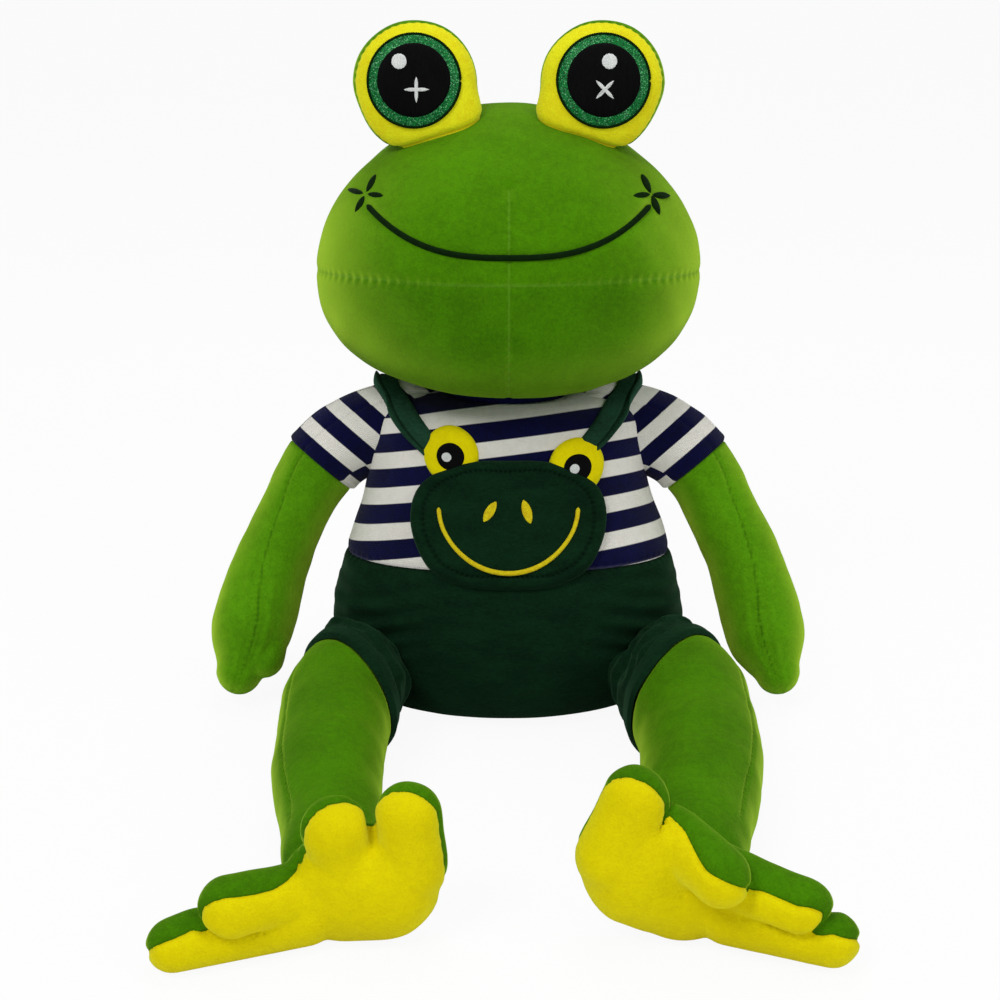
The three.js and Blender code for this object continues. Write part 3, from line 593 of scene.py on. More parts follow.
def make_stripes(tree: bpy.types.NodeTree) -> None:
    """Builds the shirt's stripes and the fine ribs of its knit.

    Args:
        tree: the empty group.
    """
    wiring, entry, leaving = open_group(tree, {"Edge": 0.08}, ("Band", "Height"))
    stripe = wiring.add("ShaderNodeAttribute", attribute_name="stripe").outputs["Fac"]
    wale = wiring.add("ShaderNodeAttribute", attribute_name="wale").outputs["Fac"]
    wave = wiring.math("SINE", wiring.math("MULTIPLY", stripe, 2 * math.pi))
    low = wiring.math("SUBTRACT", STRIPE_MIDDLE, entry["Edge"])
    high = wiring.math("ADD", STRIPE_MIDDLE, entry["Edge"])
    inputs = {"Value": wave, "From Min": low, "From Max": high}
    band = wiring.add("ShaderNodeMapRange", inputs, interpolation_type="SMOOTHSTEP")
    rib = wiring.math("SINE", wiring.math("MULTIPLY", wale, 2 * math.pi / RIB_PITCH))
    course = wiring.math("SINE", wiring.math("MULTIPLY", stripe, 2 * math.pi * COURSES))
    loops = wiring.math("ADD", rib, wiring.math("MULTIPLY", course, 0.6))
    tree.links.new(band.outputs[0], leaving.inputs["Band"])
    tree.links.new(loops, leaving.inputs["Height"])


@dataclass(frozen=True)
class Fabric:
    """A brushed fabric: its tones, its nap, the sheen of its pile, a painted sheen and a painted seam
    colour.
    """

    name: str
    light: str
    dark: str
    seam: str
    slot: str
    patch: float = 28.0
    fibre: float = 800.0
    streak: float = 1.0
    relief: float = 0.0006
    roughness: float = 0.85
    sheen: float = 0.35
    sheen_colour: str = "d8f090"
    seam_strength: float = 0.8
    # edge is the painted sheen's colour. The three shares below set how it is mixed in towards the
    # silhouette.
    edge: str = ""
    painted_sheen_share: float = 0.6
    painted_sheen_start: float = 0.2
    painted_sheen_end: float = 0.95
    specular: float = 0.05
    metallic: float = 0.0
    bump: float = 1.0

    def nap(self, wiring: Wiring) -> bpy.types.Node:
        """Returns: the nap's group in a material."""
        values = {"Patch": self.patch, "Fibre": self.fibre, "Streak": self.streak}
        return wiring.group(Effect.NAP, values)

    def surface_colour(self, wiring: Wiring, tone: object) -> bpy.types.NodeSocket:
        """Gives the cloth's colour before its seams, with a painted sheen: paler where the pile is
        seen from the side, less so on faces that point up or down.

        Args:
            wiring: the material's wiring.
            tone: the nap's tone.

        Returns:
            The colour's socket.
        """
        cloth = wiring.blend(tone, colour(self.dark), colour(self.light))
        if not self.edge:
            return cloth
        # Painted sheen: the edge colour is mixed in where the surface is seen from the side.
        facing = wiring.add("ShaderNodeLayerWeight", {"Blend": PAINTED_SHEEN_BLEND}).outputs["Facing"]
        share = wiring.spread(facing, self.painted_sheen_start, self.painted_sheen_end, 0.0, self.painted_sheen_share)
        # The painted sheen fades on faces that point up or down.
        normal = wiring.add("ShaderNodeNewGeometry").outputs["Normal"]
        rise = wiring.add("ShaderNodeSeparateXYZ", {0: normal}).outputs["Z"]
        steep = wiring.math("ABSOLUTE", rise)
        share = wiring.math("MULTIPLY", share, wiring.spread(steep, 0.15, 0.85, 1.0, 0.1))
        return wiring.blend(share, cloth, colour(self.edge))

    def cloth(self, wiring: Wiring) -> tuple[bpy.types.NodeSocket, bpy.types.NodeSocket]:
        """Returns: the colour's and the relief's sockets."""
        nap = self.nap(wiring)
        sewn = wiring.group(Effect.SEWN, {"Strength": self.seam_strength})
        plain = self.surface_colour(wiring, nap.outputs["Tone"])
        # Painted seam colour along the seam grooves: shade where it is darker than the cloth,
        # highlight where it is paler.
        tint = wiring.blend(sewn.outputs["Mask"], plain, colour(self.seam))
        return tint, nap.outputs["Height"]

    def material(self) -> bpy.types.Material:
        """Returns: the finish as a Blender material, made once."""
        found = bpy.data.materials.get(self.name)
        if found:
            return found
        material = bpy.data.materials.new(self.name)
        material.use_nodes = True
        wiring = Wiring(material.node_tree)
        shader = material.node_tree.nodes["Principled BSDF"]
        tint, height = self.cloth(wiring)
        relief = {"Height": height, "Distance": self.relief, "Strength": self.bump}
        normal = wiring.add("ShaderNodeBump", relief).outputs[0]
        material.node_tree.links.new(tint, shader.inputs["Base Color"])
        material.node_tree.links.new(normal, shader.inputs["Normal"])
        self.set_shader(shader)
        return material

    def set_shader(self, shader: bpy.types.Node) -> None:
        """Sets the shader's constants.

        Args:
            shader: the material's shader.
        """
        constants = {
            "Roughness": self.roughness,
            "Metallic": self.metallic,
            "Specular IOR Level": self.specular,
            "Sheen Weight": self.sheen,
            "Sheen Roughness": SHEEN_ROUGHNESS,
            "Sheen Tint": colour(self.sheen_colour),
        }
        for name, value in constants.items():
            shader.inputs[name].default_value = value


@dataclass(frozen=True)
class StripedKnit(Fabric):
    """The shirt's jersey: two colours of stripe over fine knitted ribs."""

    navy: str = "0c0e40"
    deep_navy: str = "070824"
    blur: float = 0.1
    rib_relief: float = 0.35

    def cloth(self, wiring: Wiring) -> tuple[bpy.types.NodeSocket, bpy.types.NodeSocket]:
        """Returns: the colour's and the relief's sockets."""
        nap = self.nap(wiring)
        stripes = wiring.group(Effect.STRIPES, {"Edge": self.blur})
        sewn = wiring.group(Effect.SEWN, {"Strength": self.seam_strength})
        tone = nap.outputs["Tone"]
        pale = wiring.blend(tone, colour(self.dark), colour(self.light))
        deep = wiring.blend(tone, colour(self.deep_navy), colour(self.navy))
        striped = wiring.blend(stripes.outputs["Band"], deep, pale)
        # Painted seam colour along the seam grooves, as painted shade.
        tint = wiring.blend(sewn.outputs["Mask"], striped, colour(self.seam))
        ribs = wiring.math("MULTIPLY", stripes.outputs["Height"], self.rib_relief)
        return tint, wiring.math("ADD", ribs, nap.outputs["Height"])


@dataclass(frozen=True)
class GlitterCloth(Fabric):
    """Glitter fabric: small flakes that each face their own way, with painted glints on some of them.
    """

    flake: float = 2300.0

    def cloth(self, wiring: Wiring) -> tuple[bpy.types.NodeSocket, bpy.types.NodeSocket]:
        """Returns: the colour's and the relief's sockets."""
        place = wiring.add("ShaderNodeTexCoord").outputs["Object"]
        flakes = wiring.add("ShaderNodeTexVoronoi", {"Vector": place, "Scale": self.flake})
        luck = wiring.add("ShaderNodeSeparateColor", {0: flakes.outputs["Color"]}).outputs
        shade = wiring.spread(luck[0], 0.2, 0.8, 0.0, 1.0)
        base = wiring.blend(shade, colour(self.dark), colour(self.light))
        # Painted glints: a random share of the flakes take the pale glint colour.
        painted_glints = wiring.spread(luck[1], 0.86, 0.98, 0.0, 0.9)
        return wiring.blend(painted_glints, base, colour(self.seam)), luck[2]


# Edge colours are painted sheen. Seam colours are painted along the seams: painted shade where darker
# than the cloth, a painted highlight where paler, as on the crown and jaw.
LEAF = Fabric(
    "leaf_green_pile", "478402", "356602", "234a02", "leaf_green_plush", sheen=0.2,
    sheen_colour="c8d838", edge="a4d034", painted_sheen_share=0.9, painted_sheen_start=0.5, painted_sheen_end=1.0,
)
# The crown's seam colour is paler than its pile: a painted highlight along its seams, which the jaw
# shares.
CROWN = replace(
    LEAF, name="crown_green_pile", light="4d8b02", dark="3a6c02", seam="74a034",
    seam_strength=0.5, painted_sheen_share=0.9, painted_sheen_start=0.04, painted_sheen_end=0.76,
)
# The jaw's pile: a slightly darker copy of the crown's.
JAW = replace(CROWN, name="jaw_green_pile", light="468102", dark="346402", patch=45.0)
# The arms' pile: a paler copy of the crown's, with a darker seam colour.
SLEEVED = replace(
    CROWN, name="arm_green_pile", light="5a9a0c", dark="447a06", seam="2c5604", seam_strength=0.75,
)
LEMON = Fabric(
    "lemon_pile", "e6da02", "d8c802", "b08c04", "lemon_plush", sheen=0.15,
    sheen_colour="f0f060", seam_strength=0.55, edge="dce43c", painted_sheen_share=0.5,
)
EYE_LEMON = replace(
    LEMON, name="eye_lemon_pile", light="e8ea20", dark="dccb14", edge="e6f05a", patch=22.0,
)
VELOUR = Fabric(
    "dark_green_velour", "11301b", "081b0f", "040d06", "green_velour", patch=34.0, streak=3.0,
    relief=0.0007, sheen=0.15, sheen_colour="5f8c68", seam_strength=0.7, edge="2c4a34",
    painted_sheen_share=0.8, painted_sheen_start=0.4, painted_sheen_end=1.0, specular=0.02,
)
# The straps' velour: a paler copy of the pants' velour.
WEBBING = replace(VELOUR, name="strap_velour", light="234834", dark="12281a", edge="3c6450")
JERSEY = StripedKnit(
    "striped_knit", "f4f1ea", "e4e1d8", "55556a", "striped_jersey", fibre=1500.0,
    relief=0.0003, sheen=0.05, sheen_colour="ffffff", seam_strength=0.35,
)
# The glitter's fourth colour, in the seam colour's place, is its painted glint colour.
GLITTER = GlitterCloth(
    "green_glitter", "087a34", "023a1c", "7cc890", "glitter_fabric", roughness=0.4,
    relief=0.0003, sheen=0.0, specular=0.12, metallic=0.15, bump=0.7,
)
BLACK = Fabric(
    "black_satin", "080809", "020203", "010101", "black_embroidery", patch=60.0,
    fibre=1400.0, streak=0.15, relief=0.0003, roughness=0.6, sheen=0.0, specular=0.03,
)
WHITE = Fabric(
    "white_satin", "e4e6e4", "c9cdcb", "a8acaa", "white_embroidery", patch=300.0,
    relief=0.0003, roughness=0.5, sheen=0.1, sheen_colour="ffffff",
)
THREAD = Fabric(
    "dark_satin", "0b2406", "051503", "030c02", "dark_thread", patch=300.0, relief=0.0002,
    roughness=0.6, sheen=0.05, sheen_colour="6f9a50", specular=0.03,
)
YELLOW = Fabric(
    "yellow_satin", "e4d81a", "c9a916", "9c7c10", "yellow_thread", patch=300.0,
    relief=0.0002, roughness=0.45, sheen=0.1, sheen_colour="fff2a0",
)


def dress(
    surface: Surface, name: str, fabric: Fabric, body: str, nodes: Sequence[str]
) -> None:
    """Makes a piece, ties it to its body and hides the nodes that it stands for.

    Args:
        surface: the piece's surface.
        name: its name.
        fabric: its finish.
        body: the body that it rides on.
        nodes: the plain solids that it replaces.
    """
    thing = surface.piece(name, fabric.material())
    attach(thing, body)
    if nodes:
        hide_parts(*nodes)
    LOG.info("%s: %d faces on %s", thing.name, len(thing.data.polygons), body)




# Torso, shirt and dungarees

TORSO_ROWS = np.array(
    [
        (0, 0.70, 0.64, 0.70, 0),
        (0.035, 0.86, 0.85, 0.87, 0),
        (0.105, 0.97, 0.96, 0.96, 0),
        (0.21, 1, 1, 1, 0),
        (0.315, 0.985, 0.995, 0.99, 0.02),
        (0.42, 0.94, 0.955, 0.94, 0.1),
        (0.525, 0.89, 0.89, 0.87, 0.26),
        (0.63, 0.83, 0.80, 0.79, 0.46),
        (0.735, 0.785, 0.72, 0.73, 0.66),
        (0.84, 0.78, 0.665, 0.69, 0.85),
        (0.925, 0.76, 0.63, 0.65, 0.95),
        (0.965, 0.71, 0.58, 0.61, 1),
        (0.987, 0.62, 0.51, 0.56, 1),
        (1, 0.46, 0.46, 0.52, 1),
    ]
)


MEAN_RADIUS = 100.0


@dataclass
class Torso:
    """The filled torso: the striped shirt above the waist seam and the velour pants below."""

    height: float = 186.0
    half_width: float = 110.0
    front: float = 88.0
    back: float = 81.0
    set_back: float = 22.0
    squareness: float = 2.15
    waist: float = 88.6
    waist_slope: float = 0.141
    stripe: float = 21.7
    stripe_lean: float = 0.13
    stripe_sink: float = 0.24
    stripe_start: float = -1.3
    neck_radius: float = 34.0
    neck_height: float = 192.0
    rib_height: float = 0.35
    rib_count: int = 60
    waist_seam: Seam = Seam(2.0, 2.6, 7.0)
    lumps: Lumps = Lumps(1.1, 85.0, 0.35, 30.0, 3)
    even_edge: float = 10.0
    fold_height: float = 1.6
    fold_pitch: float = 11.0
    fold_slant: float = 0.35
    fold_spread: float = 78.0
    fold_rise: float = 62.0
    fold_reach: tuple[float, float] = (26.0, 20.0)

    def __post_init__(self) -> None:
        """Reads the rows once, closely spaced, for the pieces that lie on the torso."""
        places = np.linspace(0, len(TORSO_ROWS) - 1, 900)
        self.rows = self.sizes(smooth_values(range(len(TORSO_ROWS)), TORSO_ROWS, places))

    def sizes(self, shares: np.ndarray) -> np.ndarray:
        """Returns: rows of shares as millimetres: height, half width, front, back and set-back."""
        whole = (self.height, self.half_width, self.front, self.back, self.set_back)
        return shares * np.array(whole)

    def at_height(self, z: np.ndarray) -> list[np.ndarray]:
        """Returns: half width, front, back and set-back at each height."""
        return [np.interp(z, self.rows[:, 0], self.rows[:, i]) for i in range(1, 5)]

    def depth_at(self, x: np.ndarray, z: np.ndarray) -> np.ndarray:
        """Returns: the chest's place along Y."""
        wide, front, _, middle = self.at_height(z)
        share = np.clip(np.abs(x) / wide, 0, 0.995)
        return middle - front * (1 - share**self.squareness) ** (1 / self.squareness)

    def on_front(self, x: np.ndarray, z: np.ndarray, lift: np.ndarray) -> np.ndarray:
        """Returns: places across and heights as points that stand off the chest by a lift."""
        return raised(self.depth_at, x, z, lift)

    def skin(self) -> Surface:
        """Returns: the whole torso as one closed surface, from the seat to the neck."""
        places = np.linspace(0, len(TORSO_ROWS) - 1, 260)
        rows = self.sizes(smooth_values(range(len(TORSO_ROWS)), TORSO_ROWS, places))
        angle = full_turn(380) + math.pi / 2
        power = 2 / self.squareness
        c = np.sign(np.cos(angle)) * np.abs(np.cos(angle)) ** power
        s = np.sign(np.sin(angle)) * np.abs(np.sin(angle)) ** power
        deep = np.where(s[None] > 0, rows[:, 3:4], rows[:, 2:3])
        grid = np.stack(
            [rows[:, 1:2] * c, rows[:, 4:5] + deep * s, np.repeat(rows[:, :1], len(angle), 1)], -1
        )
        seat = [grid[0] * np.array([share, share, 1]) for share in (0.2, 0.5, 0.8)]
        neck = []
        for share, drop in ((0.7, 0.0), (0.35, 0.5), (0.0, 2.5)):
            round_neck = self.neck_radius * np.stack([np.cos(angle), np.sin(angle)], -1)
            ring = grid[-1].copy()
            ring[:, :2] = ring[:, :2] * share + (round_neck + [0, self.set_back]) * (1 - share)
            ring[:, 2] -= drop
            neck.append(ring)
        surface = sewn_grid(np.concatenate([seat, grid, neck]))
        x, y, z = surface.points.T
        around = np.arctan2(x, -(y - self.set_back / 2))
        surface.values["wale"] = around * 88.0
        rise = z + y * self.stripe_sink - x * self.stripe_lean
        surface.values["stripe"] = (rise - self.stripe_start) / self.stripe
        return surface

    def build(self) -> None:
        """Makes the shirt, the pants and the collar round the neck."""
        skin = self.skin()
        x, y, z = skin.points.T
        level = z + self.waist_slope * y - self.waist
        free = step_up(z, 2.0, 2.0 + self.even_edge)
        free *= step_up(self.height - z, 0.0, self.even_edge)
        drawn = self.waist_seam.pull(level, np.arctan2(x, -y) * MEAN_RADIUS)
        lumps = free * self.lumps.over(skin.points)
        heights = lumps + self.hip_folds(skin.points) - drawn
        # The seam value puts painted shade along the waist seam's groove.
        skin = skin.with_value("seam", groove(level, self.waist_seam.width / 2)).shifted(heights)
        shirt, pants = skin.cut(level)
        dress(shirt, "shirt", JERSEY, "torso", ["shirt_body", "torso_stuffing"])
        dress(pants, "dungaree_pants", VELOUR, "torso", ["overalls_pants"])
        self.build_collar()

    def hip_folds(self, points: np.ndarray) -> np.ndarray:
        """Gives the folds that the raised thighs press into the pants.

        Args:
            points: the torso's points.

        Returns:
            How far the cloth stands out at each point.
        """
        x, y, z = points.T
        wide, tall = self.fold_reach
        near = groove(np.abs(x) - self.fold_spread, wide) * groove(z - self.fold_rise, tall) * (y < 0)
        run = z + self.fold_slant * np.abs(x)
        return self.fold_height * near * np.cos(run * 2 * math.pi / self.fold_pitch)

    def build_collar(self) -> None:
        """Makes the neck that the head turns on, with the shirt's rib round it."""
        turn = full_turn(160)
        profile = [(26, -26), (31, -20), (34, -12), (36.5, -8.5), (38, -6), (37.5, -3), (35.5, -1.5)]
        profile += [(34, 2), (32, 10), (27, 20), (18, 28), (6, 33)]
        stops = np.linspace(0, len(profile) - 1, 60)
        rows = smooth_values(range(len(profile)), np.array(profile, float), stops)
        rib = self.rib_height * np.cos(turn * self.rib_count) * step_up(rows[:, 0], 33.5, 36)[:, None]
        radius = rows[:, :1] + rib
        height = np.repeat(rows[:, 1:2], len(turn), 1) + self.neck_height
        grid = np.stack([radius * np.cos(turn), radius * np.sin(turn) + self.set_back, height], -1)
        surface = sewn_grid(grid)
        zero = np.zeros(len(surface.points))
        surface.values = {"seam": zero, "stripe": zero - 0.25, "wale": surface.points[:, 0]}
        dress(surface, "neck_collar", JERSEY, "neck", ["neck_stuffing"])


# Patches and bands that are sewn or stitched onto a surface

Placing = Callable[[np.ndarray, np.ndarray, np.ndarray], np.ndarray]
Reach = Callable[[np.ndarray], tuple[np.ndarray, np.ndarray]]


@dataclass
class Patch:
    """A flat cut shape, given by its reach in every direction, that lies on a surface."""

    x: float
    z: float
    reach: Reach
    low: float
    thickness: float
    stitch: float = 0.0
    stitch_angle: float = 0.0
    ridge: float = 0.22
    rings: int = 26
    columns: int = 180
    edge: float = 8.0

    def surface(self, place: Placing) -> Surface:
        """Lays the patch on a surface.

        Args:
            place: puts a place across, a height and a lift onto that surface.

        Returns:
            The patch, with its rim rounded down to the surface.
        """
        rim_x, rim_z = self.reach(full_turn(self.columns))
        share = 1 - (1 - np.linspace(0.04, 1, self.rings)) ** 1.6
        x = self.x + share[:, None] * rim_x
        z = self.z + share[:, None] * rim_z
        crown = (1 - share**self.edge) ** 0.5
        height = self.low + self.thickness * np.repeat(crown[:, None], self.columns, 1)
        if self.stitch:
            run = x * math.cos(self.stitch_angle) + z * math.sin(self.stitch_angle)
            height += self.ridge * np.cos(run * 2 * math.pi / self.stitch) * crown[:, None]
        grid = place(x, z, height)
        under = place(x[-1:], z[-1:], np.full((1, self.columns), self.low - 1.2))
        surface = sewn_grid(np.concatenate([grid, under]))
        surface.values["seam"] = np.zeros(len(surface.points))
        return surface


def round_reach(radius: float) -> Reach:
    """Returns: the reach of a round patch."""
    return lambda turn: (radius * np.cos(turn), radius * np.sin(turn))


def star_reach(radius: float, points: int, start: float, waist: float) -> Reach:
    """Gives a star's reach.

    Args:
        radius: reach of its points.
        points: how many points.
        start: angle of the first point.
        waist: share of the reach between two points.

    Returns:
        The reach in every direction.
    """

    def reach(turn: np.ndarray) -> tuple[np.ndarray, np.ndarray]:
        """Returns: the rim's places across and upward."""
        wave = np.abs(((turn - start) * points / (2 * math.pi)) % 1.0 * 2 - 1)
        size = radius * (waist + (1 - waist) * wave**2.2)
        return size * np.cos(turn), size * np.sin(turn)

    return reach


def leaf_reach(length: float, width: float, lean: float) -> Reach:
    """Gives a pointed leaf's reach about its middle.

    Args:
        length: from tip to tip.
        width: across its middle.
        lean: its direction from level, in radians.

    Returns:
        The reach in every direction.
    """

    def reach(turn: np.ndarray) -> tuple[np.ndarray, np.ndarray]:
        """Returns: the rim's places across and upward."""
        along = length / 2 * np.cos(turn)
        across = width / 2 * np.sin(turn) * np.abs(np.sin(turn)) ** 0.5
        x = along * math.cos(lean) - across * math.sin(lean)
        return x, along * math.sin(lean) + across * math.cos(lean)

    return reach


@dataclass(frozen=True)
class Satin:
    """A satin-stitched line: its width, the lift of its edges, its crown and its stitches."""

    width: float
    low: float
    thickness: float
    pitch: float
    slant: float = 0.8
    relief: float = 0.22

    def band(self, line: np.ndarray, place: Placing) -> Surface:
        """Lays the stitches along a line on a surface.

        Args:
            line: places across and heights of its middle.
            place: puts points onto the surface.

        Returns:
            The band.
        """
        length = length_along(line)
        run = np.linspace(0, length[-1], int(length[-1] / self.pitch * 6))
        middle = np.stack([np.interp(run, length, line[:, i]) for i in range(2)], -1)
        along = unit(np.gradient(middle, axis=0))
        across = np.stack([-along[:, 1], along[:, 0]], -1)
        end = np.minimum(run, length[-1] - run)
        narrow = np.sqrt(np.clip(end / (self.width * 0.6), 0.02, 1))[:, None]
        turn = np.linspace(0, math.pi, 13)
        reach = self.width / 2 * narrow * np.cos(turn)
        ridges = stitch_wave(run[:, None] + reach * self.slant, self.pitch, 0.5)
        crown = self.thickness * np.sin(turn) * (1 - self.relief + self.relief * ridges)
        lift = self.low + crown * narrow
        spot = middle[:, None] + across[:, None] * reach[..., None]
        grid = place(spot[..., 0], spot[..., 1], lift)
        under = place(spot[:, ::-1, 0], spot[:, ::-1, 1], np.full(lift.shape, self.low - 1.0))
        surface = sewn_grid(np.concatenate([grid, under[:, 1:-1]], 1))
        surface.values["seam"] = np.zeros(len(surface.points))
        return surface




BIB_ROWS = [(0, 0.98), (0.3, 0.97), (0.45, 0.93), (0.6, 0.84), (0.76, 0.71), (0.9, 0.5)]
BIB_ROWS += [(0.98, 0.24), (1, 0), (0.98, -0.26), (0.92, -0.5), (0.8, -0.75), (0.6, -0.91)]
BIB_ROWS += [(0.28, -0.99)]


@dataclass
class Bib:
    """The frog-faced bib: a quilted velour pad with two eyes, a smile and two nostrils."""

    torso: Torso
    half_width: float = 58.0
    half_height: float = 34.5
    height: float = 123.5
    thickness: float = 6.8
    channel: float = 6.6
    eye_spreads: tuple[float, float] = (40.5, 34.0)
    eye_heights: tuple[float, float] = (152.5, 159.5)
    eye_radius: float = 16.5
    pupil_radius: float = 8.0
    glint_radius: float = 2.8
    smile_half_width: float = 39.0
    smile_depth: float = 32.0
    smile_rise: float = 5.5
    smile: Satin = Satin(2.4, 8.0, 1.3, 0.9)
    nostril_spread: float = 10.4
    nostril_height: float = 4.8
    nostril_length: float = 13.5
    nostril_width: float = 5.4
    nostril_leans: tuple[float, float] = (18.0, 33.0)
    crown: float = 1.6
    rim_roll: float = 5.0
    seam: Seam = Seam(1.0, 1.25, 3.4)
    seam_depth: float = 1.7

    def reach(self, turn: np.ndarray) -> tuple[np.ndarray, np.ndarray]:
        """Gives the bib's rim in every direction.

        Args:
            turn: angles from +X towards +Z.

        Returns:
            The rim's places across and upward.
        """
        half = np.array(BIB_ROWS, float)
        whole = np.concatenate([half, half[:0:-1] * [-1, 1]])
        whole = whole * [self.half_width, self.half_height]
        angle = np.unwrap(np.arctan2(whole[:, 1], whole[:, 0]))
        size = np.linalg.norm(whole, axis=1)
        order = np.argsort(-angle)
        angle, size = angle[order], size[order]
        stops = np.concatenate([angle + 2 * math.pi, angle, angle - 2 * math.pi])[::-1]
        sizes = np.concatenate([size] * 3)[::-1]
        reach = smooth_values(stops, sizes, np.asarray(turn))
        return reach * np.cos(turn), reach * np.sin(turn)

    def pad(self) -> Surface:
        """Returns: the pad, crowned inside its stitched channel and rolled at the rim."""
        turn = full_turn(420)
        rim_x, rim_z = self.reach(turn)
        size = np.hypot(rim_x, rim_z)
        share = 1 - (1 - np.linspace(0.02, 1, 90)) ** 1.5
        x, z = share[:, None] * rim_x, share[:, None] * rim_z
        inset = (1 - share)[:, None] * np.minimum(size, 42.0)
        roll = np.clip(inset / self.rim_roll, 0, 1)
        rim_roll = np.sqrt(np.clip(1 - (1 - roll) ** 2, 0, 1))
        crown = self.crown * step_up(inset, self.channel, self.channel + 16)
        run = np.cumsum(np.hypot(np.gradient(rim_x), np.gradient(rim_z)))
        drawn = self.seam.pull(inset - self.channel, run)
        height = self.thickness * rim_roll + crown - self.seam_depth * drawn
        height += 0.35 * swell(np.stack([x, z, z * 0], -1).reshape(-1, 3), 26, 8).reshape(x.shape)
        height = np.maximum(height, 0.3)
        grid = self.torso.on_front(x, z + self.height, height)
        under = self.torso.on_front(x[-1:], z[-1:] + self.height, np.full((1, len(turn)), -1.5))
        surface = sewn_grid(np.concatenate([grid, under]))
        # Painted shade in the stitched channel round the pad.
        seam = np.concatenate([drawn, drawn[-1:] * 0]).ravel() * 0.8
        surface.values["seam"] = np.concatenate([seam, [0, 0]])
        return surface

    def build(self) -> None:
        """Makes the pad and everything stitched on it."""
        dress(self.pad(), "bib_pad", VELOUR, "torso", ["bib_panel"])
        turn = np.linspace(math.pi, 2 * math.pi, 90)
        rise = self.height + self.smile_rise + self.smile_depth * np.sin(turn)
        line = np.stack([self.smile_half_width * np.cos(turn), rise], -1)
        smile = self.smile.band(line, self.torso.on_front)
        dress(smile, "bib_smile_thread", YELLOW, "torso", ["bib_smile"])
        for side in Side:
            self.build_eye(side)
            self.build_nostril(side)

    def build_nostril(self, side: Side) -> None:
        """Makes one leaf-shaped nostril.

        Args:
            side: which nostril.
        """
        lean = math.pi / 2 + side.way * math.radians(side.pick(self.nostril_leans))
        shape = leaf_reach(self.nostril_length, self.nostril_width, lean)
        x, z = side.way * self.nostril_spread, self.height + self.nostril_height
        leaf = Patch(x, z, shape, self.smile.low, 1.2, stitch=1.1, stitch_angle=lean, edge=3.0)
        surface, nodes = leaf.surface(self.torso.on_front), [f"bib_nostril_{side.word}"]
        dress(surface, f"bib_nostril_leaf_{side.word}", YELLOW, "torso", nodes)

    def build_eye(self, side: Side) -> None:
        """Makes one eye of the bib: a padded disc, its pupil and the light in it.

        Args:
            side: which eye.
        """
        place, word = self.torso.on_front, side.word
        x, z = side.way * side.pick(self.eye_spreads), side.pick(self.eye_heights)
        disc = Patch(x, z, round_reach(self.eye_radius), 0.2, 4.6, edge=5.0)
        eye = disc.surface(place)
        dress(eye, f"bib_eye_pad_{word}", LEMON, "torso", [f"bib_eye_{word}"])
        pupil_x, pupil_z = x - side.way * 0.6, z - 1.0
        round_pupil = round_reach(self.pupil_radius)
        pupil = Patch(pupil_x, pupil_z, round_pupil, 4.7, 1.0, stitch=0.9, ridge=0.12, edge=6.0)
        black = pupil.surface(place)
        dress(black, f"bib_pupil_patch_{word}", BLACK, "torso", [f"bib_pupil_{word}"])
        shape, look = round_reach(self.glint_radius), {"stitch": 0.8, "stitch_angle": 0.4}
        glint = Patch(pupil_x - 2.0, pupil_z - 0.6, shape, 5.6, 0.8, edge=4.0, **look)
        white = glint.surface(place)
        dress(white, f"bib_glint_patch_{word}", WHITE, "torso", [f"bib_glint_{word}"])


